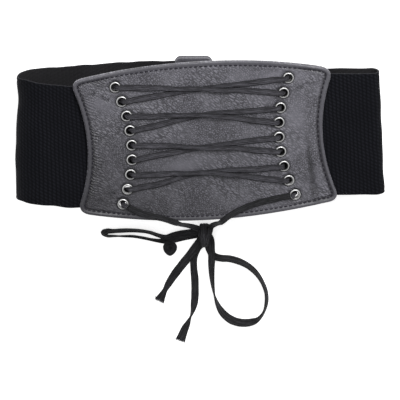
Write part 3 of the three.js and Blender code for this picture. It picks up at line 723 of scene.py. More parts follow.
def makePanel():
    outline, inward, along, total = panelOutline(panel["points"])
    count = panel["points"]
    steps = np.linspace(0, len(rimTable) - 1, panel["rimRings"])
    fine = np.interp(steps, np.arange(len(rimTable)), rimTable[:, 0])
    height = np.interp(fine, rimTable[:, 0], rimTable[:, 1])
    rim = outline[None] + inward[None] * fine[:, None, None]
    # rings stand close together where the eyelets and creases are, and wider in the middle
    most = round(panel["innerRings"] * panel["outerShare"])
    middleRings = np.linspace(0.5, panel["smallestRing"], panel["innerRings"] - most)
    shares = np.concatenate([np.linspace(1, 0.5, most)[1:], middleRings[1:]])
    inner = rim[-1][None] * shares[:, None, None]
    flat = np.concatenate([rim, inner])  # u, v of the face's rings, from the rim inwards
    inset = np.concatenate([fine, np.full(len(shares), 30.0)])
    inset = np.repeat(inset[:, None], count, 1)
    reach = np.linalg.norm(flat - rim[:1], axis=-1)
    inset[len(fine):] = np.maximum(10.0, reach[len(fine):] * 0.9)
    height = np.concatenate([height, np.full(len(shares), panel["faceHeight"])])
    u, v = flat[..., 0], flat[..., 1]
    relief, shade = panelRelief(u, v, inset, along[None], total)
    front = panel["under"] + height[:, None] + relief
    rings = len(flat)
    edge = outline[None] + inward[None] * edgeTable[:, 0][:, None, None]
    edgeOut = np.repeat(panel["under"] + edgeTable[:, 1][:, None], count, 1)
    allUV = np.concatenate([flat[::-1], edge, flat])
    allOut = np.concatenate([np.full((rings, count), panel["under"]), edgeOut, front])
    allShade = np.concatenate([np.zeros((rings, count)), np.zeros(edgeOut.shape), shade])
    points = panelPoint(allUV[..., 0], allUV[..., 1], allOut)
    rows = len(allUV)
    quads, triangles = cappedGrid(rows, count, turned=True)
    # holes: faces near each eyelet go, and the edge left is drawn to a circle
    flatUV = allUV.reshape(-1, 2)
    inFace = (np.arange(rows) < rings) | (np.arange(rows) >= rows - rings)
    middles = flatUV[quads].mean(1)
    nearest = np.sqrt(((middles[:, None] - eyeletPlaces[None]) ** 2).sum(-1)).min(1)
    cut = (nearest < panel["holeRadius"]) & inFace[quads // count].all(1)
    quads = quads[~cut]
    edges = np.concatenate([quads[:, [k, (k + 1) % 4]] for k in range(4)])
    keys = np.sort(edges, 1)
    _, firstSeen, seen = np.unique(keys, axis=0, return_index=True, return_counts=True)
    border = edges[firstSeen[seen == 1]]
    border = border[((border // count > 0) & (border // count < rows - 1)).all(1)]
    onFront = border[(border // count >= rows - rings).all(1)]
    partner = (rows - 1 - onFront // count) * count + onFront % count
    walls = np.concatenate([onFront[:, ::-1], partner], 1)
    loose = np.unique(border)
    offset = flatUV[loose][:, None] - eyeletPlaces[None]
    which = np.linalg.norm(offset, axis=-1).argmin(1)
    centre = eyeletPlaces[which]
    pulled = centre + unit(flatUV[loose] - centre) * panel["holeRadius"]
    points = points.reshape(-1, 3)
    points[loose] = panelPoint(pulled[:, 0], pulled[:, 1], allOut.reshape(-1)[loose])
    flatUV[loose] = pulled
    points = np.vstack([points, panelPoint([0, 0], [0, 0], [panel["under"], front[-1].mean()])])
    uv = np.vstack([flatUV, [[0, 0], [0, 0]]]) * mm
    shades = withPoles(allShade)
    shades[-1] = shade[-1].mean()
    piece = makePiece("front_panel_leather", points, np.vstack([quads, walls]), triangles, uv, shades)
    below = np.zeros((rings + len(edge), count))
    for name, values in (("pull", panelPull(u, v, inset)), ("calm", panelCalm(u, v, inset))):
        addValues(piece.data, name, withPoles(np.vstack([below, values])))
    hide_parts("front_panel")
    return piece


def tubes(paths, ups, radius, around=6):
    # Many short round threads at once: paths (count, steps, 3), ups across them, and their radii.
    heading = unit(np.gradient(paths, axis=1))
    side = unit(np.cross(ups, heading))
    top = np.cross(heading, side)
    a = evenTurn(around)[:, None]
    ring = side[:, :, None] * np.cos(a) + top[:, :, None] * np.sin(a)
    body = paths[:, :, None] + ring * radius[:, :, None, None]
    count, steps = paths.shape[:2]
    size = steps * around + 2
    points = np.concatenate([body.reshape(count, -1, 3), paths[:, :1], paths[:, -1:]], 1).reshape(-1, 3)
    base = (np.arange(count) * size)[:, None, None]
    quads, ends = cappedGrid(steps, around)
    return points, (quads + base).reshape(-1, 4), (ends + base).reshape(-1, 3)


def stitchRow(name, line, normal, total, pitch, length, radius):
    # One capsule for each stitch on a closed line: raised in its middle, dipping in at its ends.
    # line(w) gives the points and normal(w) the outward directions at distances w along it.
    # The row has as many stitches as fit, evenly spread.
    count = round(total / pitch)
    middle = (np.arange(count) / count * total)[:, None]
    t = np.linspace(-0.5, 0.5, 7)[None]
    w = middle + t * length
    up = normal(w)
    paths = line(w) + up * (0.34 * np.cos(math.pi * t)[..., None] ** 0.7 - 0.16) * mm
    thick = np.repeat(radius * (0.55 + 0.45 * np.cos(math.pi * t)), count, 0)
    points, quads, ends = tubes(paths, up, thick)
    return makePiece(name, points, quads, ends)


def panelStitches(front=True):
    outline = panelOutline(2400)
    place = insetLine(outline, panel["stitchInset"])
    side = 1 if front else -1

    def line(w):
        u, v = place(w)
        top = 2.3 + 0.12 + 0.6 * panel["puckers"] - 0.75 * panel["sideGroove"] * sideShare(u)
        return panelPoint(u, v, panel["under"] + (top if front else -0.12))

    def normal(w):
        return unit(panelPoint(*place(w), 2 + side) - panelPoint(*place(w), 2))

    name = "panel_stitches_" + ("front" if front else "back")
    pitch, length, radius = panel["stitchPitch"], panel["stitchLength"], panel["stitchRadius"] * mm
    return stitchRow(name, line, normal, outline[-1], pitch, length, radius)


panelPiece = makePanel()
stitches = [panelStitches(True), panelStitches(False)]
print("panel and its stitches made")


# Eyelets: rolled metal rings, turned round their own axes


def makeEyelet(side, row, node):
    # Height over the panel's face as a function of the radius: a rolled flange in front,
    # a barrel through the leather and a flatter flange behind.
    e = eyelets
    inner, outer = e["holeRadius"], e["holeRadius"] + e["barrelWall"]
    edge, top, low = outer + e["flange"], 0.3 + e["flangeHeight"], -3.5
    profile = np.array([
        (inner, -3.0), (inner + 0.08, -3.25), (inner + 0.35, low + 0.05), (outer + 0.25, low),
        (edge - 0.75, low + 0.12), (edge - 0.35, low + 0.42), (edge - 0.32, low + 0.6),
        (edge - 0.5, low + 0.68), (outer + 0.2, low + 0.72), (outer, -2.6), (outer, -0.6),
        (outer + 0.3, -0.65), (edge - 0.15, -0.6), (edge, -0.4), (edge, 0.05), (edge - 0.12, 0.45),
        (edge - 0.25, 0.68), (edge - 0.4, 0.86), (edge - 0.6, 1.03), (edge - 0.8, top - 0.02),
        (outer + 0.35, top), (outer + 0.2, top - 0.02), (outer + 0.05, top - 0.08),
        (inner + 0.1, top - 0.36), (inner, 0.35), (inner, -1.2),
    ])
    a = evenTurn(e["around"])[:, None]
    origin, along, across, up = panelAxes(*eyeletPlace(side, row))
    turned = (along * np.cos(a) + across * np.sin(a)) * profile[:, None, :1]
    points = origin + (turned + up * profile[:, None, 1:]) * mm
    # Painted highlight on the crest and, in the two lowest eyelets, a painted reflection in the barrel; painted
    # shade on the rest of the ring.
    crest = bump(profile[:, 0], e["crest"], e["crestWidth"]) * (profile[:, 1] > 0)
    barrel = 0.75 * (profile[:, 0] < inner + 0.2) * ease(-2.4, 0.2, profile[:, 1])
    paintedShade = np.repeat(1 - np.maximum(crest, barrel if row > 6 else 0), e["around"])
    piece = makePiece(node + "_ring", points, gridQuads(len(profile), e["around"], True, True), shade=paintedShade)
    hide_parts(node)
    return piece


rings = []
for side, word in ((-1, "left"), (1, "right")):
    for row in range(eyelets["rows"]):
        rings.append(makeEyelet(side, row, f"eyelet_{word}_{row + 1}"))
print("eyelets made")


# The laced stretch: through all eyelets, crossing on the front

strands = {
    "overFlange": 5.72,  # heights over the band's middle
    "behind": -1.05,
    "onFace": 4.45,
    "inHole": 2.3,
    "lift": 1.6,  # of the strand that lies on the other where they cross
    "holeSpread": 0.72,
    "spread": 0.81,
    "meeting": 0.76,  # share of that width where two strands cross
    "headings": {"left": (0.82, -0.57), "right": (-0.983, -0.184)},
    "crossings": (-30, -6, 18, 42),  # heights of the four crossings on the panel
    "bows": (4.6, 1.6, 4.2, 1.7),  # how far the slack strands bow upwards at each
}


def lacedRows():
    # u, v, height, spread and the two parts of the width's direction, from the lowest left eyelet
    # over the top to the lowest right one.
    last = eyelets["rows"] - 1
    half, side = [], -1
    for row in range(last, 0, -2):
        half += [(side, row), (side, row - 1)]
        side = -side
    half.append((-half[-1][0], 0))
    stops = half + [(-s, r) for s, r in reversed(half)]
    s = strands
    rows = []

    def leave(start, heading, distances, out, spread):
        x, y = heading
        for d in distances:
            rows.append([start[0] + x * d, start[1] + y * d, out, spread, -y, x])

    leave(eyeletPlace(*stops[0]), s["headings"]["left"], (3.4, 1.6), s["overFlange"], s["holeSpread"])
    for i, (side, row) in enumerate(stops):
        here = eyeletPlace(side, row)
        rows.append([here[0], here[1], s["inHole"], s["holeSpread"], 0, 0])
        if i == len(stops) - 1:
            break
        step = eyeletPlace(*stops[i + 1]) - here
        length = float(np.linalg.norm(step))
        heading = step / length
        if i % 2 == 0:
            inside = (length * 0.3, length * 0.5, length * 0.7) if row == 0 else (length / 2,)
            leave(here, heading, (1.6, *inside, length - 1.6), s["behind"], s["holeSpread"])
            continue
        above = s["lift"] if (heading[0] > 0) == (row < stops[i + 1][1]) else 0
        close = s["spread"] * s["meeting"]
        middle, overlap = length / 2, lacing["width"] / mm * close * length / eyelets["pitch"] * 0.5
        leave(here, heading, (1.6, 5.2), s["overFlange"], s["holeSpread"])
        leave(here, heading, (9.5, 20), s["onFace"], s["spread"])
        leave(here, heading, (middle - overlap - 6,), s["onFace"], close * 1.1)
        leave(here, heading, (middle - overlap, middle, middle + overlap), s["onFace"] + above, close)
        leave(here, heading, (middle + overlap + 6,), s["onFace"], close * 1.1)
        leave(here, heading, (length - 20, length - 9.5), s["onFace"], s["spread"])
        leave(here, heading, (length - 5.2, length - 1.6), s["overFlange"], s["holeSpread"])
    leave(eyeletPlace(*stops[-1]), s["headings"]["right"], (1.6, 3.4), s["overFlange"], s["holeSpread"])
    rows = np.array(rows)
    for k in range(1, len(rows)):
        if rows[k, 4] == rows[k, 5] == 0:
            rows[k, 4:] = rows[k - 1, 4:]
        elif rows[k, 4:] @ rows[k - 1, 4:] < 0:
            rows[k, 4:] *= -1
    return rows


def makeLaced():
    curve, along = smoothPath(lacedRows(), lacing["step"] / mm)
    u, v, out, spread = curve[:, :4].T
    width = unit(curve[:, 4:])
    onFront = ease(4.2, 4.4, out) * ease(8, 16, np.abs(eyelets["reach"] - np.abs(u)))
    slack = np.cos(np.clip(u / eyelets["reach"], -1, 1) * math.pi / 2) ** 2 * ease(1, 3, out)
    v = v + np.interp(v, strands["crossings"], strands["bows"]) * slack
    v = v + 0.35 * ripple(along, 0 * along, 34, 41) * onFront
    out = out + 0.12 * ripple(along, 0 * along, 15, 42) * onFront
    spread = spread * (1 + 0.05 * ripple(along, 0 * along, 12, 43) * onFront)
    path = panelPoint(u, v, out)
    _, alongAxis, acrossAxis, _ = panelAxes(u, v)
    across = alongAxis * width[:, :1] + acrossAxis * width[:, 1:]
    piece = tapePiece("laced_tape", path, across, spread, along * mm)
    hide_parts("lace")
    return piece


lacedPiece = makeLaced()
print("laced stretch made")


# Elastic bands

elastic = {
    "height": 100.0,
    "alongStep": 1.3,
    "acrossPoints": 56,
    "selvage": 2.6,
    "waves": 0.3,
    "edgeWaves": 0.45,
    "overlap": 12.0,
    "seam": 10.5,
    "edgeRound": 0.8,
}
# Soft dents of the band: place along and across, size along and across, depth
dents = [
    (leftFoldStart + leftRadius * 1.5, 31, 26, 13, 1.5),
    (leftFoldStart + leftRadius * 1.6, -20, 24, 22, -0.5),
]


def makeBand(node, start, end, seed):
    # A closed section (across, out) carried along the loop, with rolled selvages and soft waves
    # that fade out where it is sewn under the panel or held in the tabs.
    steps = round((end - start) / elastic["alongStep"])
    s = np.linspace(start, end, steps + 1)[:, None]
    half, thick = elastic["height"] / 2, belt["bandThickness"] / 2
    r = elastic["edgeRound"]
    t = np.linspace(-half + r, half - r, elastic["acrossPoints"])
    turn = np.linspace(math.pi / 2, -math.pi / 2, 7)[1:-1]
    across = np.concatenate([t, half - r + r * np.cos(turn), t[::-1], -half + r - r * np.cos(turn)])
    side = np.concatenate([np.ones(len(t)), np.sin(turn), -np.ones(len(t)), -np.sin(turn)])
    inEdge = np.abs(np.abs(across) - (half - elastic["selvage"]))
    out = thick * side * (1 - 0.3 * bump(inEdge, 0, 0.6))
    free = ease(4, 22, s - start) * ease(4, 22, end - s)
    wave = elastic["waves"] * ripple(s, across[None], 26, seed) * free
    edge = ease(half - 12, half, np.abs(across))[None]
    spill = elastic["edgeWaves"] * ripple(s, 0 * s, 19, seed + 1) * np.sign(across)[None] * edge * free
    lowest = np.clip(loopMiddle(s)[1] - 1.2, 0, 1)  # no waves where it lies on the surface
    for cs, ct, long, tall, deep in dents:
        wave = wave - deep * bump(s, cs, long) * bump(across[None], ct, tall) * free
    points = beltPoint(s, across[None] + spill, out[None] + wave * lowest)
    points[..., 2] = np.maximum(points[..., 2], 0.00002)
    uv = np.stack(np.broadcast_arrays(s * mm, across[None] * mm), -1).reshape(-1, 2)
    uv = np.vstack([uv, [[start * mm, 0], [end * mm, 0]]])
    inner = withPoles(np.broadcast_to(ease(0.2, -0.2, side)[None], points.shape[:2]))
    faces, ends = cappedGrid(*points.shape[:2])
    points = np.vstack([points.reshape(-1, 3), beltPoint([start, end], [0, 0], [0, 0])])
    piece = makePiece(node + "_web", points, faces, ends, uv, inner)
    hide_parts(node)
    return piece


seamStart = belt["tabWidth"] / 2 - elastic["seam"]
underPanel = panel["waist"] / 2 - elastic["overlap"]
bands = [
    makeBand("elastic_left", seamStart, panelAlong - underPanel, 61),
    makeBand("elastic_right", panelAlong + underPanel, loopLength - seamStart, 71),
]
print("elastic bands made")


# Closure tabs

tab = {
    "height": 106.0,
    "corner": 5.0,
    "stitchInset": 4.0,
    "stitchPitch": 3.6,
    "stitchLength": 2.6,
    "stitchRadius": 0.3,
    "tone": 0.58,  # how dark the whole tab is
    "points": 300,
    "calm": 0.7,  # how smooth its grain is
}
# inwards from the outline, share of the thickness
tabTable = np.array([
    (0.5, 0.0), (0.12, 0.06), (0.0, 0.25), (0.0, 0.6), (0.08, 0.82), (0.35, 0.96), (0.8, 1.0), (2.2, 1.0),
    (3.2, 0.95), (3.6, 0.88), (4.0, 0.84), (4.4, 0.88), (4.9, 0.96), (5.8, 1.0), (7.0, 0.98),
])


def tabOutline(count):
    x, y, r = belt["tabWidth"] / 2, tab["height"] / 2, tab["corner"]
    a = np.linspace(math.pi / 2, 0, 24)
    arc = np.stack([x - r + r * np.cos(a), y - r + r * np.sin(a)], -1)
    parts = [arc, (arc * [1, -1])[::-1], arc * [-1, -1], (arc * [-1, 1])[::-1]]
    return evenOutline(np.vstack(parts), count)


def makeTab(node, bottom, seed):
    outline, inward, along, total = tabOutline(tab["points"])
    count = tab["points"]
    rim = outline[None] + inward[None] * tabTable[:, 0][:, None, None]
    shares = np.linspace(1, 0.02, 16)[1:]
    inner = rim[-1][None] * shares[:, None, None]
    under = (outline + inward * 0.9)[None] * np.array([0.25, 0.6, 1.0])[:, None, None]
    flat = np.concatenate([under, rim, inner])
    height = np.concatenate([np.zeros(3), tabTable[:, 1], np.full(len(shares), 0.98)]) * belt["tabThickness"]
    phase = 2 * math.pi * along * round(total / tab["stitchPitch"]) / total
    inset = np.concatenate([np.full(3, 9.0), tabTable[:, 0], np.full(len(shares), 9.0)])[:, None]
    height = height[:, None] + 0.08 * np.cos(phase)[None] * bump(inset, tab["stitchInset"], 0.9)
    x, y = flat[..., 0], flat[..., 1]
    onTop = np.concatenate([np.zeros(3), ease(0, 1.5, tabTable[:, 0]), np.ones(len(shares))])[:, None]
    height = height + 0.06 * ripple(x, y, 14, seed) * onTop * (height > 1.8)
    points = np.stack([x, y, height + bottom], -1) * mm
    poles = np.array([[0, 0, bottom], [0, 0, bottom + belt["tabThickness"] * 0.98]]) * mm
    # The whole tab a little darker, and painted shade in its stitched groove.
    shade = np.maximum(tab["tone"], 0.7 * bump(inset, tab["stitchInset"], 0.6))
    shade = withPoles(np.repeat(shade, count, 1))
    uv = np.vstack([flat.reshape(-1, 2), [[0, 0], [0, 0]]]) * mm
    points = np.vstack([points.reshape(-1, 3), poles])
    piece = makePiece(node + "_leather", points, *cappedGrid(len(flat), count), uv, shade)
    addValues(piece.data, "calm", np.full(len(points), tab["calm"]))
    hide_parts(node)
    return piece


def tabStitches(name, height):
    outline = tabOutline(1200)
    place = insetLine(outline, tab["stitchInset"])

    def line(w):
        x, y = place(w)
        return np.stack([x, y, np.full_like(x, height)], -1) * mm

    def normal(w):
        return np.broadcast_to(upward, (*w.shape, 3))

    pitch, length, radius = tab["stitchPitch"], tab["stitchLength"], tab["stitchRadius"] * mm
    return stitchRow(name, line, normal, outline[-1], pitch, length, radius)


tabLift = belt["tabThickness"] + belt["clearance"]
innerBottom = tabLift + belt["bandThickness"] + belt["clearance"]
tabs = [makeTab("closure_tab_outer", 0, 81), makeTab("closure_tab_inner", innerBottom, 82)]
stitches.append(tabStitches("tab_stitches", innerBottom + belt["tabThickness"] * 0.8 + 0.1))
print("closure tabs made")


# The knot: a core with turns of lace round it

knot = {
    "middle": (8.6, -92.3, 4.95),
    "core": (4.8, 7.6, 3.7),
    "around": 40,
    "turnSteps": 90,
}
# Turns round the core: shift along its axis and towards the tails, half length, half height,
# turn about Z in degrees, tilt in degrees, width as a share of the lace's.
knotTurns = [
    (0.0, 0.9, 8.6, 4.2, 3, 3, 1.1),
    (-1.6, 2.0, 8.6, 3.5, 12, -8, 1.0),
    (2.8, 0.6, 8.3, 3.75, -14, 8, 0.95),
]


def makeKnot():
    # Core: an egg with soft lumps. Turns: closed rings of lace in planes across X, each a little turned.
    middle = np.array(knot["middle"])
    a = np.linspace(0, math.pi, 26)[1:-1, None]
    b = evenTurn(knot["around"])[None]
    ball = np.stack(np.broadcast_arrays(np.sin(a) * np.cos(b), np.sin(a) * np.sin(b), np.cos(a)), -1)
    lumps = 1 + 0.06 * ripple(ball[..., 0] * 6, ball[..., 1] * 6 + ball[..., 2] * 4, 5, 91)
    core = (middle + ball * knot["core"] * lumps[..., None]) * mm
    poles = (middle + np.array([[0, 0, 1], [0, 0, -1]]) * knot["core"]) * mm
    body = np.vstack([core.reshape(-1, 3), poles])
    parts = [(body, *cappedGrid(len(core), knot["around"]), np.zeros((len(body), 2)))]
    for shift, down, long, high, turn, tilt, wide in knotTurns:
        w = evenTurn(knot["turnSteps"])
        turn, tilt = math.radians(turn), math.radians(tilt)
        axis = np.array([math.cos(turn), math.sin(turn), math.sin(tilt)])
        axis = axis / np.linalg.norm(axis)
        up = unit(upward - axis * axis[2])
        side = np.cross(up, axis)
        path = middle + axis * shift + side * (long * np.cos(w))[:, None] + up * (high * np.sin(w))[:, None]
        path[:, 1] -= down
        heading = unit(np.roll(path, -1, 0) - np.roll(path, 1, 0))
        face = np.cross(heading, axis)
        x, y, share = tapeSection(np.full(len(w), wide))
        body = path[:, None] * mm + axis * x[..., None] + face[:, None] * y[..., None]
        body[..., 2] = np.maximum(body[..., 2], 0.0003)
        along = np.linspace(0, 0.045, len(w))
        uv = np.stack(np.broadcast_arrays(along[:, None], share[None]), -1).reshape(-1, 2)
        faces = gridQuads(len(w), len(share), True, True)
        parts.append((body.reshape(-1, 3), faces, np.zeros((0, 3), int), uv))
    piece = makePiece("bow_knot_turns", *joined(parts), checked=True)
    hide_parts("bow_knot")
    return piece


# The kink: lace folded round on itself into a drop that lies flat

kink = {
    "x": -18.5,
    "top": -100.4,
    "length": 11.9,
    "halfWidth": 5.7,
    "height": 3.0,
    "low": 0.9,  # height of its rim
    "around": 90,
    "rings": 30,
}


def makeKink():
    # Outline: a drop, wide at the top. Height: a flat cushion with ridges that follow the outline
    # and one deep fold from the top to the middle.
    a = evenTurn(kink["around"])[None]
    share = np.linspace(1, 0.03, kink["rings"])[:, None]
    drop = np.abs(np.sin(a)) ** 0.85 * np.abs(np.cos(a / 2)) ** 0.38
    x = kink["halfWidth"] * 1.1 * np.sign(np.sin(a)) * drop
    y = -kink["length"] * (1 - np.cos(a)) / 2
    centre = np.array([0.0, -kink["length"] * 0.45])
    px = centre[0] + (x - centre[0]) * share + 0.25 * np.sin(6 * share)
    py = centre[1] + (y - centre[1]) * share
    swell = (1 - share**7) ** 0.5
    ridges = 1 - 0.16 * (0.5 - 0.5 * np.cos(2 * math.pi * share * 3.2))
    fold = 0.75 * bump(px, 0.5, 1.1) * ease(-kink["length"] * 0.5, -kink["length"] * 0.15, py)
    top = kink["low"] + (kink["height"] - kink["low"]) * swell * ridges * (1 - fold)
    low = np.full_like(top, 0.25) + 0.65 * (1 - swell)
    u = np.concatenate([px[:0:-1], px]) + kink["x"]
    v = np.concatenate([py[:0:-1], py]) + kink["top"]
    z = np.concatenate([low[:0:-1], top])
    points = np.stack([u, v, z], -1) * mm
    poles = np.array([points[0].mean(0), points[-1].mean(0)])
    points = np.vstack([points.reshape(-1, 3), poles])
    around = np.broadcast_to(a / (2 * math.pi) * 0.026, u.shape)
    level = np.broadcast_to(np.concatenate([share[:0:-1], share]) * 2 - 1, u.shape)
    uv = np.vstack([np.stack([around, level], -1).reshape(-1, 2), [[0, -1], [0, -1]]])
    piece = makePiece("bow_curl_fold", points, *cappedGrid(*u.shape), uv)
    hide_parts("bow_curl")
    return piece


# Frayed ends: loose threads fanning out of the last few millimetres of each tail

fray = {
    "threads": 62,
    "inside": 0.0014,
    "reach": 0.0017,
    "radius": 0.00024,
    "halfWidth": 0.0035,
}


def makeFray(node, seed, stray=False):
    route, length = cordFacts[node]
    rng = np.random.default_rng(seed)
    heading = unit(route[-1] - route[-6])
    side = unit(np.cross(upward, heading))
    count = fray["threads"]
    start = np.linspace(-1, 1, count) + rng.uniform(-0.03, 0.03, count)
    reach = fray["reach"] * rng.uniform(0.35, 1, count)
    spreadOut = rng.uniform(-0.35, 0.35, count) + start * 0.45
    level = rng.uniform(-0.45, 0.45, count)
    t = np.linspace(0, 1, 8)[None]
    onward = -fray["inside"] + (fray["inside"] + reach[:, None]) * t
    sideways = start[:, None] * fray["halfWidth"] + spreadOut[:, None] * reach[:, None] * t**2
    if stray:  # one long thread stands off to the side
        onward[0] = -0.0006 - 0.0004 * t[0]
        sideways[0] = -fray["halfWidth"] - 0.0024 * t[0]
    curl = 0.0004 * np.sin(5 * t + rng.uniform(0, 6, count)[:, None]) * t
    z = route[-1][2] + level[:, None] * lacing["thickness"] * (1 - 0.4 * t)
    z = z + 0.0006 * t**2 * rng.uniform(-0.6, 1, count)[:, None]
    onFloor = [1, 1, 0]
    paths = route[-1] * onFloor + heading * onFloor * onward[..., None] + side * (sideways + curl)[..., None]
    paths[..., 2] = np.maximum(z, fray["radius"] * 1.2)
    radius = fray["radius"] * (1.1 - 0.6 * t) * np.ones((count, 1))
    ups = np.broadcast_to(upward, paths.shape)
    points, quads, ends = tubes(paths, ups, radius, 5)
    return makePiece(node + "_fray", points, quads, ends)


knotPiece = makeKnot()
kinkPiece = makeKink()
frays = {
    "bow_tail_left": makeFray("bow_tail_left", 7, stray=True),
    "bow_tail_right": makeFray("bow_tail_right", 8),
}
print("knot, kink and frayed ends made")


# Materials: shared effects are node groups, each material gives them its own values


def fillSockets(tree, node, sockets):
    for label, value in sockets.items():
        if isinstance(value, bpy.types.NodeSocket):
            tree.links.new(value, node.inputs[label])
        else:
            node.inputs[label].default_value = value


def plug(tree, node, **sockets):
    fillSockets(tree, node, {label.replace("_", " "): value for label, value in sockets.items()})


def addNode(tree, kind, inputs=None, **settings):
    made = tree.nodes.new(kind)
    for key, value in settings.items():
        setattr(made, key, value)
    fillSockets(tree, made, inputs or {})
    return made


def maths(tree, operation, a, b=0.0, c=0.0):
    return addNode(tree, "ShaderNodeMath", {0: a, 1: b, 2: c}, operation=operation).outputs[0]


def times(tree, a, b):
    return maths(tree, "MULTIPLY", a, b)


def minus(tree, a, b):
    return maths(tree, "SUBTRACT", a, b)


def timesPlus(tree, a, b, c):
    return maths(tree, "MULTIPLY_ADD", a, b, c)


def cosineOfTurns(tree, turns):
    return maths(tree, "COSINE", times(tree, turns, 2 * math.pi))


def vectorMaths(tree, operation, a, b):
    return addNode(tree, "ShaderNodeVectorMath", {0: a, 1: b}, operation=operation).outputs[0]


def separate(tree, vector):
    return addNode(tree, "ShaderNodeSeparateXYZ", {0: vector}).outputs


def noiseOf(tree, vector, scale, detail, output="Fac", **more):
    inputs = {"Vector": vector, "Scale": scale, "Detail": detail, **more}
    return addNode(tree, "ShaderNodeTexNoise", inputs).outputs[output]


def mapRange(tree, value, low, high, start=0.0, end=1.0):
    inputs = {"Value": value, "From Min": low, "From Max": high, "To Min": start, "To Max": end}
    return addNode(tree, "ShaderNodeMapRange", inputs, interpolation_type="SMOOTHSTEP").outputs[0]


def mixValues(tree, share, first, second):
    return addNode(tree, "ShaderNodeMix", {"Factor": share, 2: first, 3: second}).outputs[0]


def mixColours(tree, share, first, second, blend="MIX"):
    sockets = {"Factor": share, 6: first, 7: second}
    for index in (6, 7):
        if not isinstance(sockets[index], bpy.types.NodeSocket):
            sockets[index] = (*sockets[index], 1)
    made = addNode(tree, "ShaderNodeMix", data_type="RGBA", blend_type=blend)
    fillSockets(tree, made, sockets)
    return made.outputs[2]


def scaled(colour, share):
    return [c * share for c in colour]


def newGroup(name, inputs, outputs):
    # Inputs come with their first values, and a vector with none. All outputs are numbers.
    tree = bpy.data.node_groups.new(name, "ShaderNodeTree")
    for label, value in inputs.items():
        kind = "NodeSocketVector" if value is None else "NodeSocketFloat"
        socket = tree.interface.new_socket(label, in_out="INPUT", socket_type=kind)
        if value is not None:
            socket.default_value = value
    for label in outputs:
        tree.interface.new_socket(label, in_out="OUTPUT", socket_type="NodeSocketFloat")
    return tree, tree.nodes.new("NodeGroupInput").outputs, tree.nodes.new("NodeGroupOutput")


def fillGroup(tree, group, inputs):
    made = tree.nodes.new("ShaderNodeGroup")
    made.node_tree = group
    fillSockets(tree, made, inputs)
    return made.outputs


def makePebbleGroup():
    # Cells warped by noise: round pebbles in some patches, in others long wrinkles along the angle.
    # Height is 0 in the creases and 1 on the pebbles, and nearly even where Calm is 1.
    inputs = {"Vector": None, "Cells per Metre": 520.0, "Warp": 0.0009, "Angle": 0.65, "Stretch": 0.33, "Calm": 0.0}
    tree, given, out = newGroup("pebbleGrain", inputs, ["Height", "Creases", "Pebble Tone"])
    where = given["Vector"]
    shift = vectorMaths(tree, "SUBTRACT", noiseOf(tree, where, 330.0, 2.0, "Color"), (0.5, 0.5, 0.5))
    warp = addNode(tree, "ShaderNodeVectorMath", {0: shift, "Scale": given["Warp"]}, operation="SCALE").outputs[0]
    place = vectorMaths(tree, "ADD", where, warp)
    inputs = {"Vector": place, "Angle": given["Angle"]}
    turned = addNode(tree, "ShaderNodeVectorRotate", inputs, rotation_type="Z_AXIS").outputs[0]
    stretch = addNode(tree, "ShaderNodeCombineXYZ", {"X": given["Stretch"], "Y": 1.0, "Z": 1.0}).outputs[0]
    edges, tones = [], []
    for vector in (place, vectorMaths(tree, "MULTIPLY", turned, stretch)):
        inputs = {"Vector": vector, "Scale": given["Cells per Metre"], "Randomness": 0.8}
        edges.append(addNode(tree, "ShaderNodeTexVoronoi", inputs, feature="DISTANCE_TO_EDGE").outputs["Distance"])
        random = addNode(tree, "ShaderNodeTexVoronoi", inputs, feature="F1").outputs["Color"]
        tones.append(separate(tree, random)[0])
    patches = mapRange(tree, noiseOf(tree, where, 26.0, 1.0), 0.40, 0.58)
    edge, cell = mixValues(tree, patches, *edges), mixValues(tree, patches, *tones)
    rough = mapRange(tree, noiseOf(tree, where, 45.0, 1.0), 0.62, 0.42, 0.72, 1.0)
    rough = times(tree, rough, minus(tree, 1.0, given["Calm"]))
    dips = times(tree, minus(tree, 1.0, mapRange(tree, edge, 0.0, 0.24)), rough)
    tone = times(tree, minus(tree, cell, 0.5), rough)
    plug(tree, out, Height=minus(tree, 1.0, dips), Creases=dips, Pebble_Tone=maths(tree, "ADD", tone, 0.5))
    return tree


def makeMottleGroup():
    # Cloudy noise of two sizes, from 0 to 1.
    inputs = {"Vector": None, "Scale": 25.0, "Fine Scale": 260.0, "Fine Share": 0.35}
    tree, given, out = newGroup("cloudyTone", inputs, ["Value"])
    wide, fine = (noiseOf(tree, given["Vector"], given[size], 3.0) for size in ("Scale", "Fine Scale"))
    plug(tree, out, Value=mapRange(tree, mixValues(tree, given["Fine Share"], wide, fine), 0.3, 0.7))
    return tree


def makeRibGroup():
    # Upright ribs made of slanting dashes, each rib's dashes half a step from its neighbour's:
    # height falls with the distance from the rib's middle and with the cosine along the dash.
    inputs = {"Vector": None, "Rib": 0.00305, "Dash": 0.0029, "Slant": 0.55}
    tree, given, out = newGroup("ribbedWeb", inputs, ["Height", "Gaps"])
    place = separate(tree, given["Vector"])
    drift = times(tree, minus(tree, noiseOf(tree, given["Vector"], 70.0, 2.0), 0.5), 0.002)
    along = maths(tree, "DIVIDE", maths(tree, "ADD", place[0], drift), given["Rib"])
    inRib = minus(tree, maths(tree, "FRACT", along), 0.5)
    rib = maths(tree, "POWER", times(tree, maths(tree, "ABSOLUTE", inRib), 2.0), 1.8)
    across = maths(tree, "DIVIDE", place[1], given["Dash"])
    across = timesPlus(tree, maths(tree, "FLOOR", along), 0.5, across)
    across = timesPlus(tree, inRib, given["Slant"], across)
    dash = timesPlus(tree, cosineOfTurns(tree, across), 0.36, 0.64)
    fine = maths(tree, "COSINE", maths(tree, "DIVIDE", place[1], 0.00013))
    height = timesPlus(tree, fine, 0.05, times(tree, minus(tree, 1.0, rib), dash))
    plug(tree, out, Height=height, Gaps=minus(tree, 1.0, mapRange(tree, height, 0.1, 0.8)))
    return tree


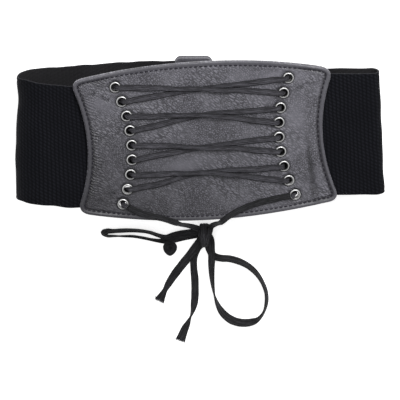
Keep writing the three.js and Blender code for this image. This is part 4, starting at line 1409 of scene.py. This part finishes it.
def makePlaitGroup():
    # Threads that meet in a V on each ridge of a flat braid: x is the place along, y from -1 to 1 across.
    inputs = {"Vector": None, "Pitch": 0.0011, "Ridges": 3.0}
    tree, given, out = newGroup("flatPlait", inputs, ["Height", "Gaps"])
    place = separate(tree, given["Vector"])
    across = times(tree, timesPlus(tree, place[1], 0.5, 0.5), given["Ridges"])
    inRidge = maths(tree, "ABSOLUTE", minus(tree, maths(tree, "FRACT", across), 0.5))
    along = maths(tree, "DIVIDE", place[0], given["Pitch"])
    wave = maths(tree, "ADD", along, times(tree, inRidge, 1.3))
    thread = timesPlus(tree, cosineOfTurns(tree, wave), 0.5, 0.5)
    dip = maths(tree, "POWER", times(tree, inRidge, 2.0), 4.0)
    height = times(tree, timesPlus(tree, thread, 0.55, 0.45), minus(tree, 1.0, dip))
    plug(tree, out, Height=height, Gaps=minus(tree, 1.0, mapRange(tree, height, 0.0, 0.7)))
    return tree


def makeFibreGroup():
    # Noise drawn out along a tape: x is the place along in metres, y from -1 to 1 across.
    inputs = {"Vector": None, "Per Metre": 130.0, "Across": 2.2}
    tree, given, out = newGroup("longFibres", inputs, ["Value"])
    spread = {"X": given["Per Metre"], "Y": given["Across"], "Z": 1.0}
    spread = addNode(tree, "ShaderNodeCombineXYZ", spread).outputs[0]
    noise = noiseOf(tree, vectorMaths(tree, "MULTIPLY", given["Vector"], spread), 1.0, 3.0, Roughness=0.6)
    plug(tree, out, Value=mapRange(tree, noise, 0.36, 0.64))
    return tree


def makeGatherGroup():
    # Short slanting folds beside a stitched line: the cosine of the place along a slanting axis.
    inputs = {"Vector": None, "Pitch": 0.0024, "Slant": 0.45}
    tree, given, out = newGroup("gatheredFolds", inputs, ["Height"])
    place = separate(tree, given["Vector"])
    level = timesPlus(tree, maths(tree, "ABSOLUTE", place[0]), times(tree, given["Slant"], -1.0), place[1])
    noise = noiseOf(tree, given["Vector"], 160.0, 2.0)
    turns = timesPlus(tree, noise, 1.6, maths(tree, "DIVIDE", level, given["Pitch"]))
    plug(tree, out, Height=timesPlus(tree, cosineOfTurns(tree, turns), 0.5, 0.5))
    return tree


pebbleGrain, cloudyTone, gatheredFolds = makePebbleGroup(), makeMottleGroup(), makeGatherGroup()
ribbedWeb, flatPlait, longFibres = makeRibGroup(), makePlaitGroup(), makeFibreGroup()


def newMaterial(name, **sockets):
    made = bpy.data.materials.new(name)
    made.use_nodes = True
    tree = made.node_tree
    shader = tree.nodes["Principled BSDF"]
    plug(tree, shader, **sockets)
    return made, tree, shader


def surfaceVector(tree):
    return addNode(tree, "ShaderNodeUVMap", uv_map="surface").outputs[0]


def objectVector(tree):
    return addNode(tree, "ShaderNodeTexCoord").outputs["Object"]


def storedValue(tree, name):
    return addNode(tree, "ShaderNodeAttribute", attribute_name=name).outputs["Fac"]


def clouds(tree, where, *sizes):
    # Sizes: the group's Scale, Fine Scale and Fine Share, as far as they differ from its own.
    given = dict(zip(("Scale", "Fine Scale", "Fine Share"), sizes))
    return fillGroup(tree, cloudyTone, {"Vector": where, **given})[0]


def acrossEdge(tree, where, low, high):
    # 1 at the two edges of a band or tape, by the second number of its place.
    return mapRange(tree, maths(tree, "ABSOLUTE", separate(tree, where)[1]), low, high)


def bumpOf(tree, height):
    return addNode(tree, "ShaderNodeBump", {"Height": height, "Distance": 1.0, "Strength": 1.0}).outputs[0]


leather = {
    "dark": (0.132, 0.1285, 0.151),
    "light": (0.166, 0.1625, 0.187),
    "creaseTone": 0.3,  # of the colour is kept in a crease between pebbles, as painted shade
    "pebbleTone": 0.24,  # how much the pebbles differ from each other
    "foldTone": 0.45,  # of the colour is lost in a fold beside the stitches, as painted shade
    "grooveTone": 0.2,  # of it is kept where the stored shade is full, as in the stitched groove
    "roughness": (0.38, 0.56),
    "grainDepth": 0.00030,
    "foldDepth": 0.00045,
    "cells": 640.0,
    "specular": 0.42,
}


def makeLeather(name):
    made, tree, shader = newMaterial(name, Specular_IOR_Level=leather["specular"])
    where = surfaceVector(tree)
    calm, pull, shade = (storedValue(tree, label) for label in ("calm", "pull", "shade"))
    grain = fillGroup(tree, pebbleGrain, {"Vector": where, "Cells per Metre": leather["cells"], "Calm": calm})
    tone = clouds(tree, where)
    folded = times(tree, fillGroup(tree, gatheredFolds, {"Vector": where})[0], pull)
    colour = mixColours(tree, tone, leather["dark"], leather["light"])
    kept = timesPlus(tree, minus(tree, grain["Pebble Tone"], 0.5), leather["pebbleTone"], 1.0)
    # Painted shade: darker in the grain's creases, where the stored shade lies and in the folds beside the stitches.
    for mask, lost in (
        (grain["Creases"], 1 - leather["creaseTone"]),
        (shade, 1 - leather["grooveTone"]),
        (folded, leather["foldTone"]),
    ):
        kept = times(tree, kept, minus(tree, 1.0, times(tree, mask, lost)))
    grey = addNode(tree, "ShaderNodeCombineXYZ", {0: kept, 1: kept, 2: kept}).outputs[0]
    low, high = leather["roughness"]
    height = times(tree, grain["Height"], leather["grainDepth"])
    plug(
        tree,
        shader,
        Base_Color=mixColours(tree, 1.0, colour, grey, "MULTIPLY"),
        Roughness=mapRange(tree, tone, 0.0, 1.0, high, low),
        Normal=bumpOf(tree, timesPlus(tree, folded, -leather["foldDepth"], height)),
    )
    return made


web = {
    "thread": (0.0082, 0.0086, 0.0112),
    "threadTones": (0.8, 1.25),
    # painted shade between the ribs
    "gap": (0.0036, 0.0038, 0.0050),
    "inside": (0.0175, 0.0172, 0.0186),  # the smoother inner face
    "insideTones": (0.85, 1.15),
    # painted highlight along both selvages
    "edge": (0.022, 0.022, 0.025),
    "edgeFrom": (0.0494, 0.0500),
    "clouds": (30.0, 900.0, 0.5),
    "depth": 0.00022,
    "roughness": 0.85,
    "specular": 0.05,
}


def makeWebbing():
    made, tree, shader = newMaterial("ribbedElastic", Roughness=web["roughness"], Specular_IOR_Level=web["specular"])
    where = surfaceVector(tree)
    ribs = fillGroup(tree, ribbedWeb, {"Vector": where})
    tone = clouds(tree, where, *web["clouds"])
    lit, smooth = (
        mixColours(tree, tone, *(scaled(web[part], share) for share in web[part + "Tones"]))
        for part in ("thread", "inside")
    )
    # painted shade in the gaps between the ribs
    colour = mixColours(tree, ribs["Gaps"], lit, web["gap"])
    colour = mixColours(tree, storedValue(tree, "shade"), colour, smooth)
    # painted highlight along the selvages
    colour = mixColours(tree, acrossEdge(tree, where, *web["edgeFrom"]), colour, web["edge"])
    plug(tree, shader, Base_Color=colour, Normal=bumpOf(tree, times(tree, ribs["Height"], web["depth"])))
    return made


braid = {
    "tones": (0.35, 2.3),
    # painted shade in the gaps of the plait
    "gapTone": 0.25,
    "edgeFrom": (0.5, 0.88),  # share of the half width over which painted shade darkens towards the edges
    "clouds": (60.0, 1500.0),
    "fibreShare": 0.6,  # the rest of the mottling is cloudy
    "fibreDepth": 0.0002,
    "plaitDepth": 0.0003,
    "roughness": 0.7,
    "specular": 0.22,
}


def makeBraid(name, colour, edgeTone):
    made, tree, shader = newMaterial(name, Roughness=braid["roughness"], Specular_IOR_Level=braid["specular"])
    where = surfaceVector(tree)
    plait = fillGroup(tree, flatPlait, {"Vector": where, "Pitch": lacing["weave"]})
    tone = clouds(tree, objectVector(tree), *braid["clouds"])
    fibres = fillGroup(tree, longFibres, {"Vector": where})[0]
    both = timesPlus(tree, fibres, braid["fibreShare"], times(tree, tone, 1 - braid["fibreShare"]))
    lit = mixColours(tree, both, *(scaled(colour, share) for share in braid["tones"]))
    # painted shade in the gaps of the plait
    gaps = mixColours(tree, plait["Gaps"], lit, scaled(colour, braid["gapTone"]))
    # painted shade along both edges of the tape
    edge = acrossEdge(tree, where, *braid["edgeFrom"])
    height = timesPlus(tree, fibres, braid["fibreDepth"], times(tree, plait["Height"], braid["plaitDepth"]))
    plug(
        tree,
        shader,
        Base_Color=mixColours(tree, edge, gaps, scaled(colour, edgeTone)),
        Normal=bumpOf(tree, height),
    )
    return made


metal = {
    "tone": 0.85,  # darkest share of the tint where no painted shade lies
    # how dark the painted shade on the rings is
    "paintedShadeTone": 0.035,
    "roughnessSpan": 0.08,
    "clouds": (300.0, 2500.0),
    "depth": 0.00001,
    "looks": {  # tint, least roughness, metallic
        "polishedNickel": ((0.785, 0.785, 0.785), 0.4, 0.7),
        "claspMetal": ((0.42, 0.42, 0.43), 0.34, 1.0),
    },
}


def makeMetal(name):
    tint, roughness, metallic = metal["looks"][name]
    made, tree, shader = newMaterial(name, Metallic=metallic)
    tone = clouds(tree, objectVector(tree), *metal["clouds"])
    unshadedTint = mixColours(tree, tone, scaled(tint, metal["tone"]), tint)
    # painted shade where the stored shade lies
    plug(
        tree,
        shader,
        Base_Color=mixColours(tree, storedValue(tree, "shade"), unshadedTint, scaled(tint, metal["paintedShadeTone"])),
        Roughness=mapRange(tree, tone, 0.0, 1.0, roughness + metal["roughnessSpan"], roughness),
        Normal=bumpOf(tree, times(tree, tone, metal["depth"])),
    )
    return made


thread = {
    "colours": ((0.007, 0.0065, 0.0105), (0.021, 0.019, 0.028)),
    "clouds": (200.0, 3000.0, 0.6),
    "depth": 0.00008,
    "roughness": 0.6,
    "specular": 0.25,
}


def makeThread():
    looks = {"Roughness": thread["roughness"], "Specular_IOR_Level": thread["specular"]}
    made, tree, shader = newMaterial("sewingThread", **looks)
    tone = clouds(tree, objectVector(tree), *thread["clouds"])
    height = bumpOf(tree, times(tree, tone, thread["depth"]))
    plug(tree, shader, Base_Color=mixColours(tree, tone, *thread["colours"]), Normal=height)
    return made


def setMaterial(piece, material):
    piece.data.materials.clear()
    piece.data.materials.append(material)


leatherMaterial = makeLeather("pebbledLeather")
webMaterial = makeWebbing()
laceMaterial = makeBraid("flatLace", lacing["colour"], 0.6)
# the knot: a lighter copy of the lace, painted light
knotMaterial = makeBraid("knottedLace", lacing["knotColour"], 0.3)
# the strands on the panel: a lighter copy of the lace, painted light
litLaceMaterial = makeBraid("litFlatLace", lacing["litColour"], 0.35)
ringMaterial, claspMaterial = makeMetal("polishedNickel"), makeMetal("claspMetal")
threadMaterial = makeThread()
print("materials made")


# Where each piece belongs and its finish

for pieces, slot, material in (
    ([panelPiece, *tabs], "leather", leatherMaterial),
    (bands, "elastic", webMaterial),
    (rings, "eyelet_metal", ringMaterial),
    (stitches, "lace", threadMaterial),
    ([lacedPiece], "lace", litLaceMaterial),
    ([*laces.values(), kinkPiece], "lace", laceMaterial),
    ([knotPiece], "lace", knotMaterial),
    (list(frays.values()), "lace", threadMaterial),
):
    for piece in pieces:
        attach(piece, "root")
        setMaterial(piece, material)
setMaterial(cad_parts["closure_clasp"], claspMaterial)

for node, (farEnd, lay) in freeEnds.items():
    route, length = cordFacts[node]
    extras = {"lace_end_left": [knotPiece], "bow_loop_left": [kinkPiece]}.get(node, [])
    extras = extras + [frays[node]] if node in frays else extras


# Floor and light

studio = {
    "floorSize": 8.0,
    "floorDepth": 0.0002,  # how far it lies under the part
    "floorSteps": 9,
    "floorColours": ((0.93, 0.93, 0.93), (0.95, 0.95, 0.95)),
    "floorClouds": (4.0, 90.0),
    "floorGlow": 0.65,
    "aim": (0, -0.05, 0.01),  # where the lamps point
    "world": 0.5,
    "key": {"place": (0.38, 0.85, 0.8), "size": 0.62, "energy": 15.0},
    "fill": {"place": (-0.9, 0.6, 1.5), "size": 1.4, "energy": 7.0},
}


def makeFloorMaterial():
    made, tree, shader = newMaterial("paleFloor", Roughness=0.9, Specular_IOR_Level=0.1)
    tone = clouds(tree, objectVector(tree), *studio["floorClouds"])
    colour = mixColours(tree, tone, *studio["floorColours"])
    plug(tree, shader, Base_Color=colour, Emission_Color=(1, 1, 1, 1), Emission_Strength=studio["floorGlow"])
    return made


def makeFloor():
    half, steps = studio["floorSize"] / 2, studio["floorSteps"]
    t = np.linspace(-half, half, steps)
    x, y = np.meshgrid(t, t, indexing="ij")
    points = np.stack([x, y, np.full_like(x, -studio["floorDepth"])], -1).reshape(-1, 3)
    floor = makePiece("floor", points, gridQuads(steps, steps), checked=True)
    setMaterial(floor, makeFloorMaterial())


def makeLight(name, place, size, energy):
    data = bpy.data.lights.new(name, "AREA")
    data.shape = "SQUARE"
    data.size, data.energy = size, energy
    light = bpy.data.objects.new(name, data)
    toward = Vector(studio["aim"]) - Vector(place)
    light.matrix_world = Matrix.Translation(place) @ toward.to_track_quat("-Z", "Y").to_matrix().to_4x4()
    bpy.context.scene.collection.objects.link(light)


makeFloor()
for name in ("key", "fill"):
    makeLight(name, **studio[name])
world = bpy.data.worlds.new("studio")
world.use_nodes = True
plug(world.node_tree, world.node_tree.nodes["Background"], Color=(1, 1, 1, 1), Strength=studio["world"])
bpy.context.scene.world = world
print("floor and light set")
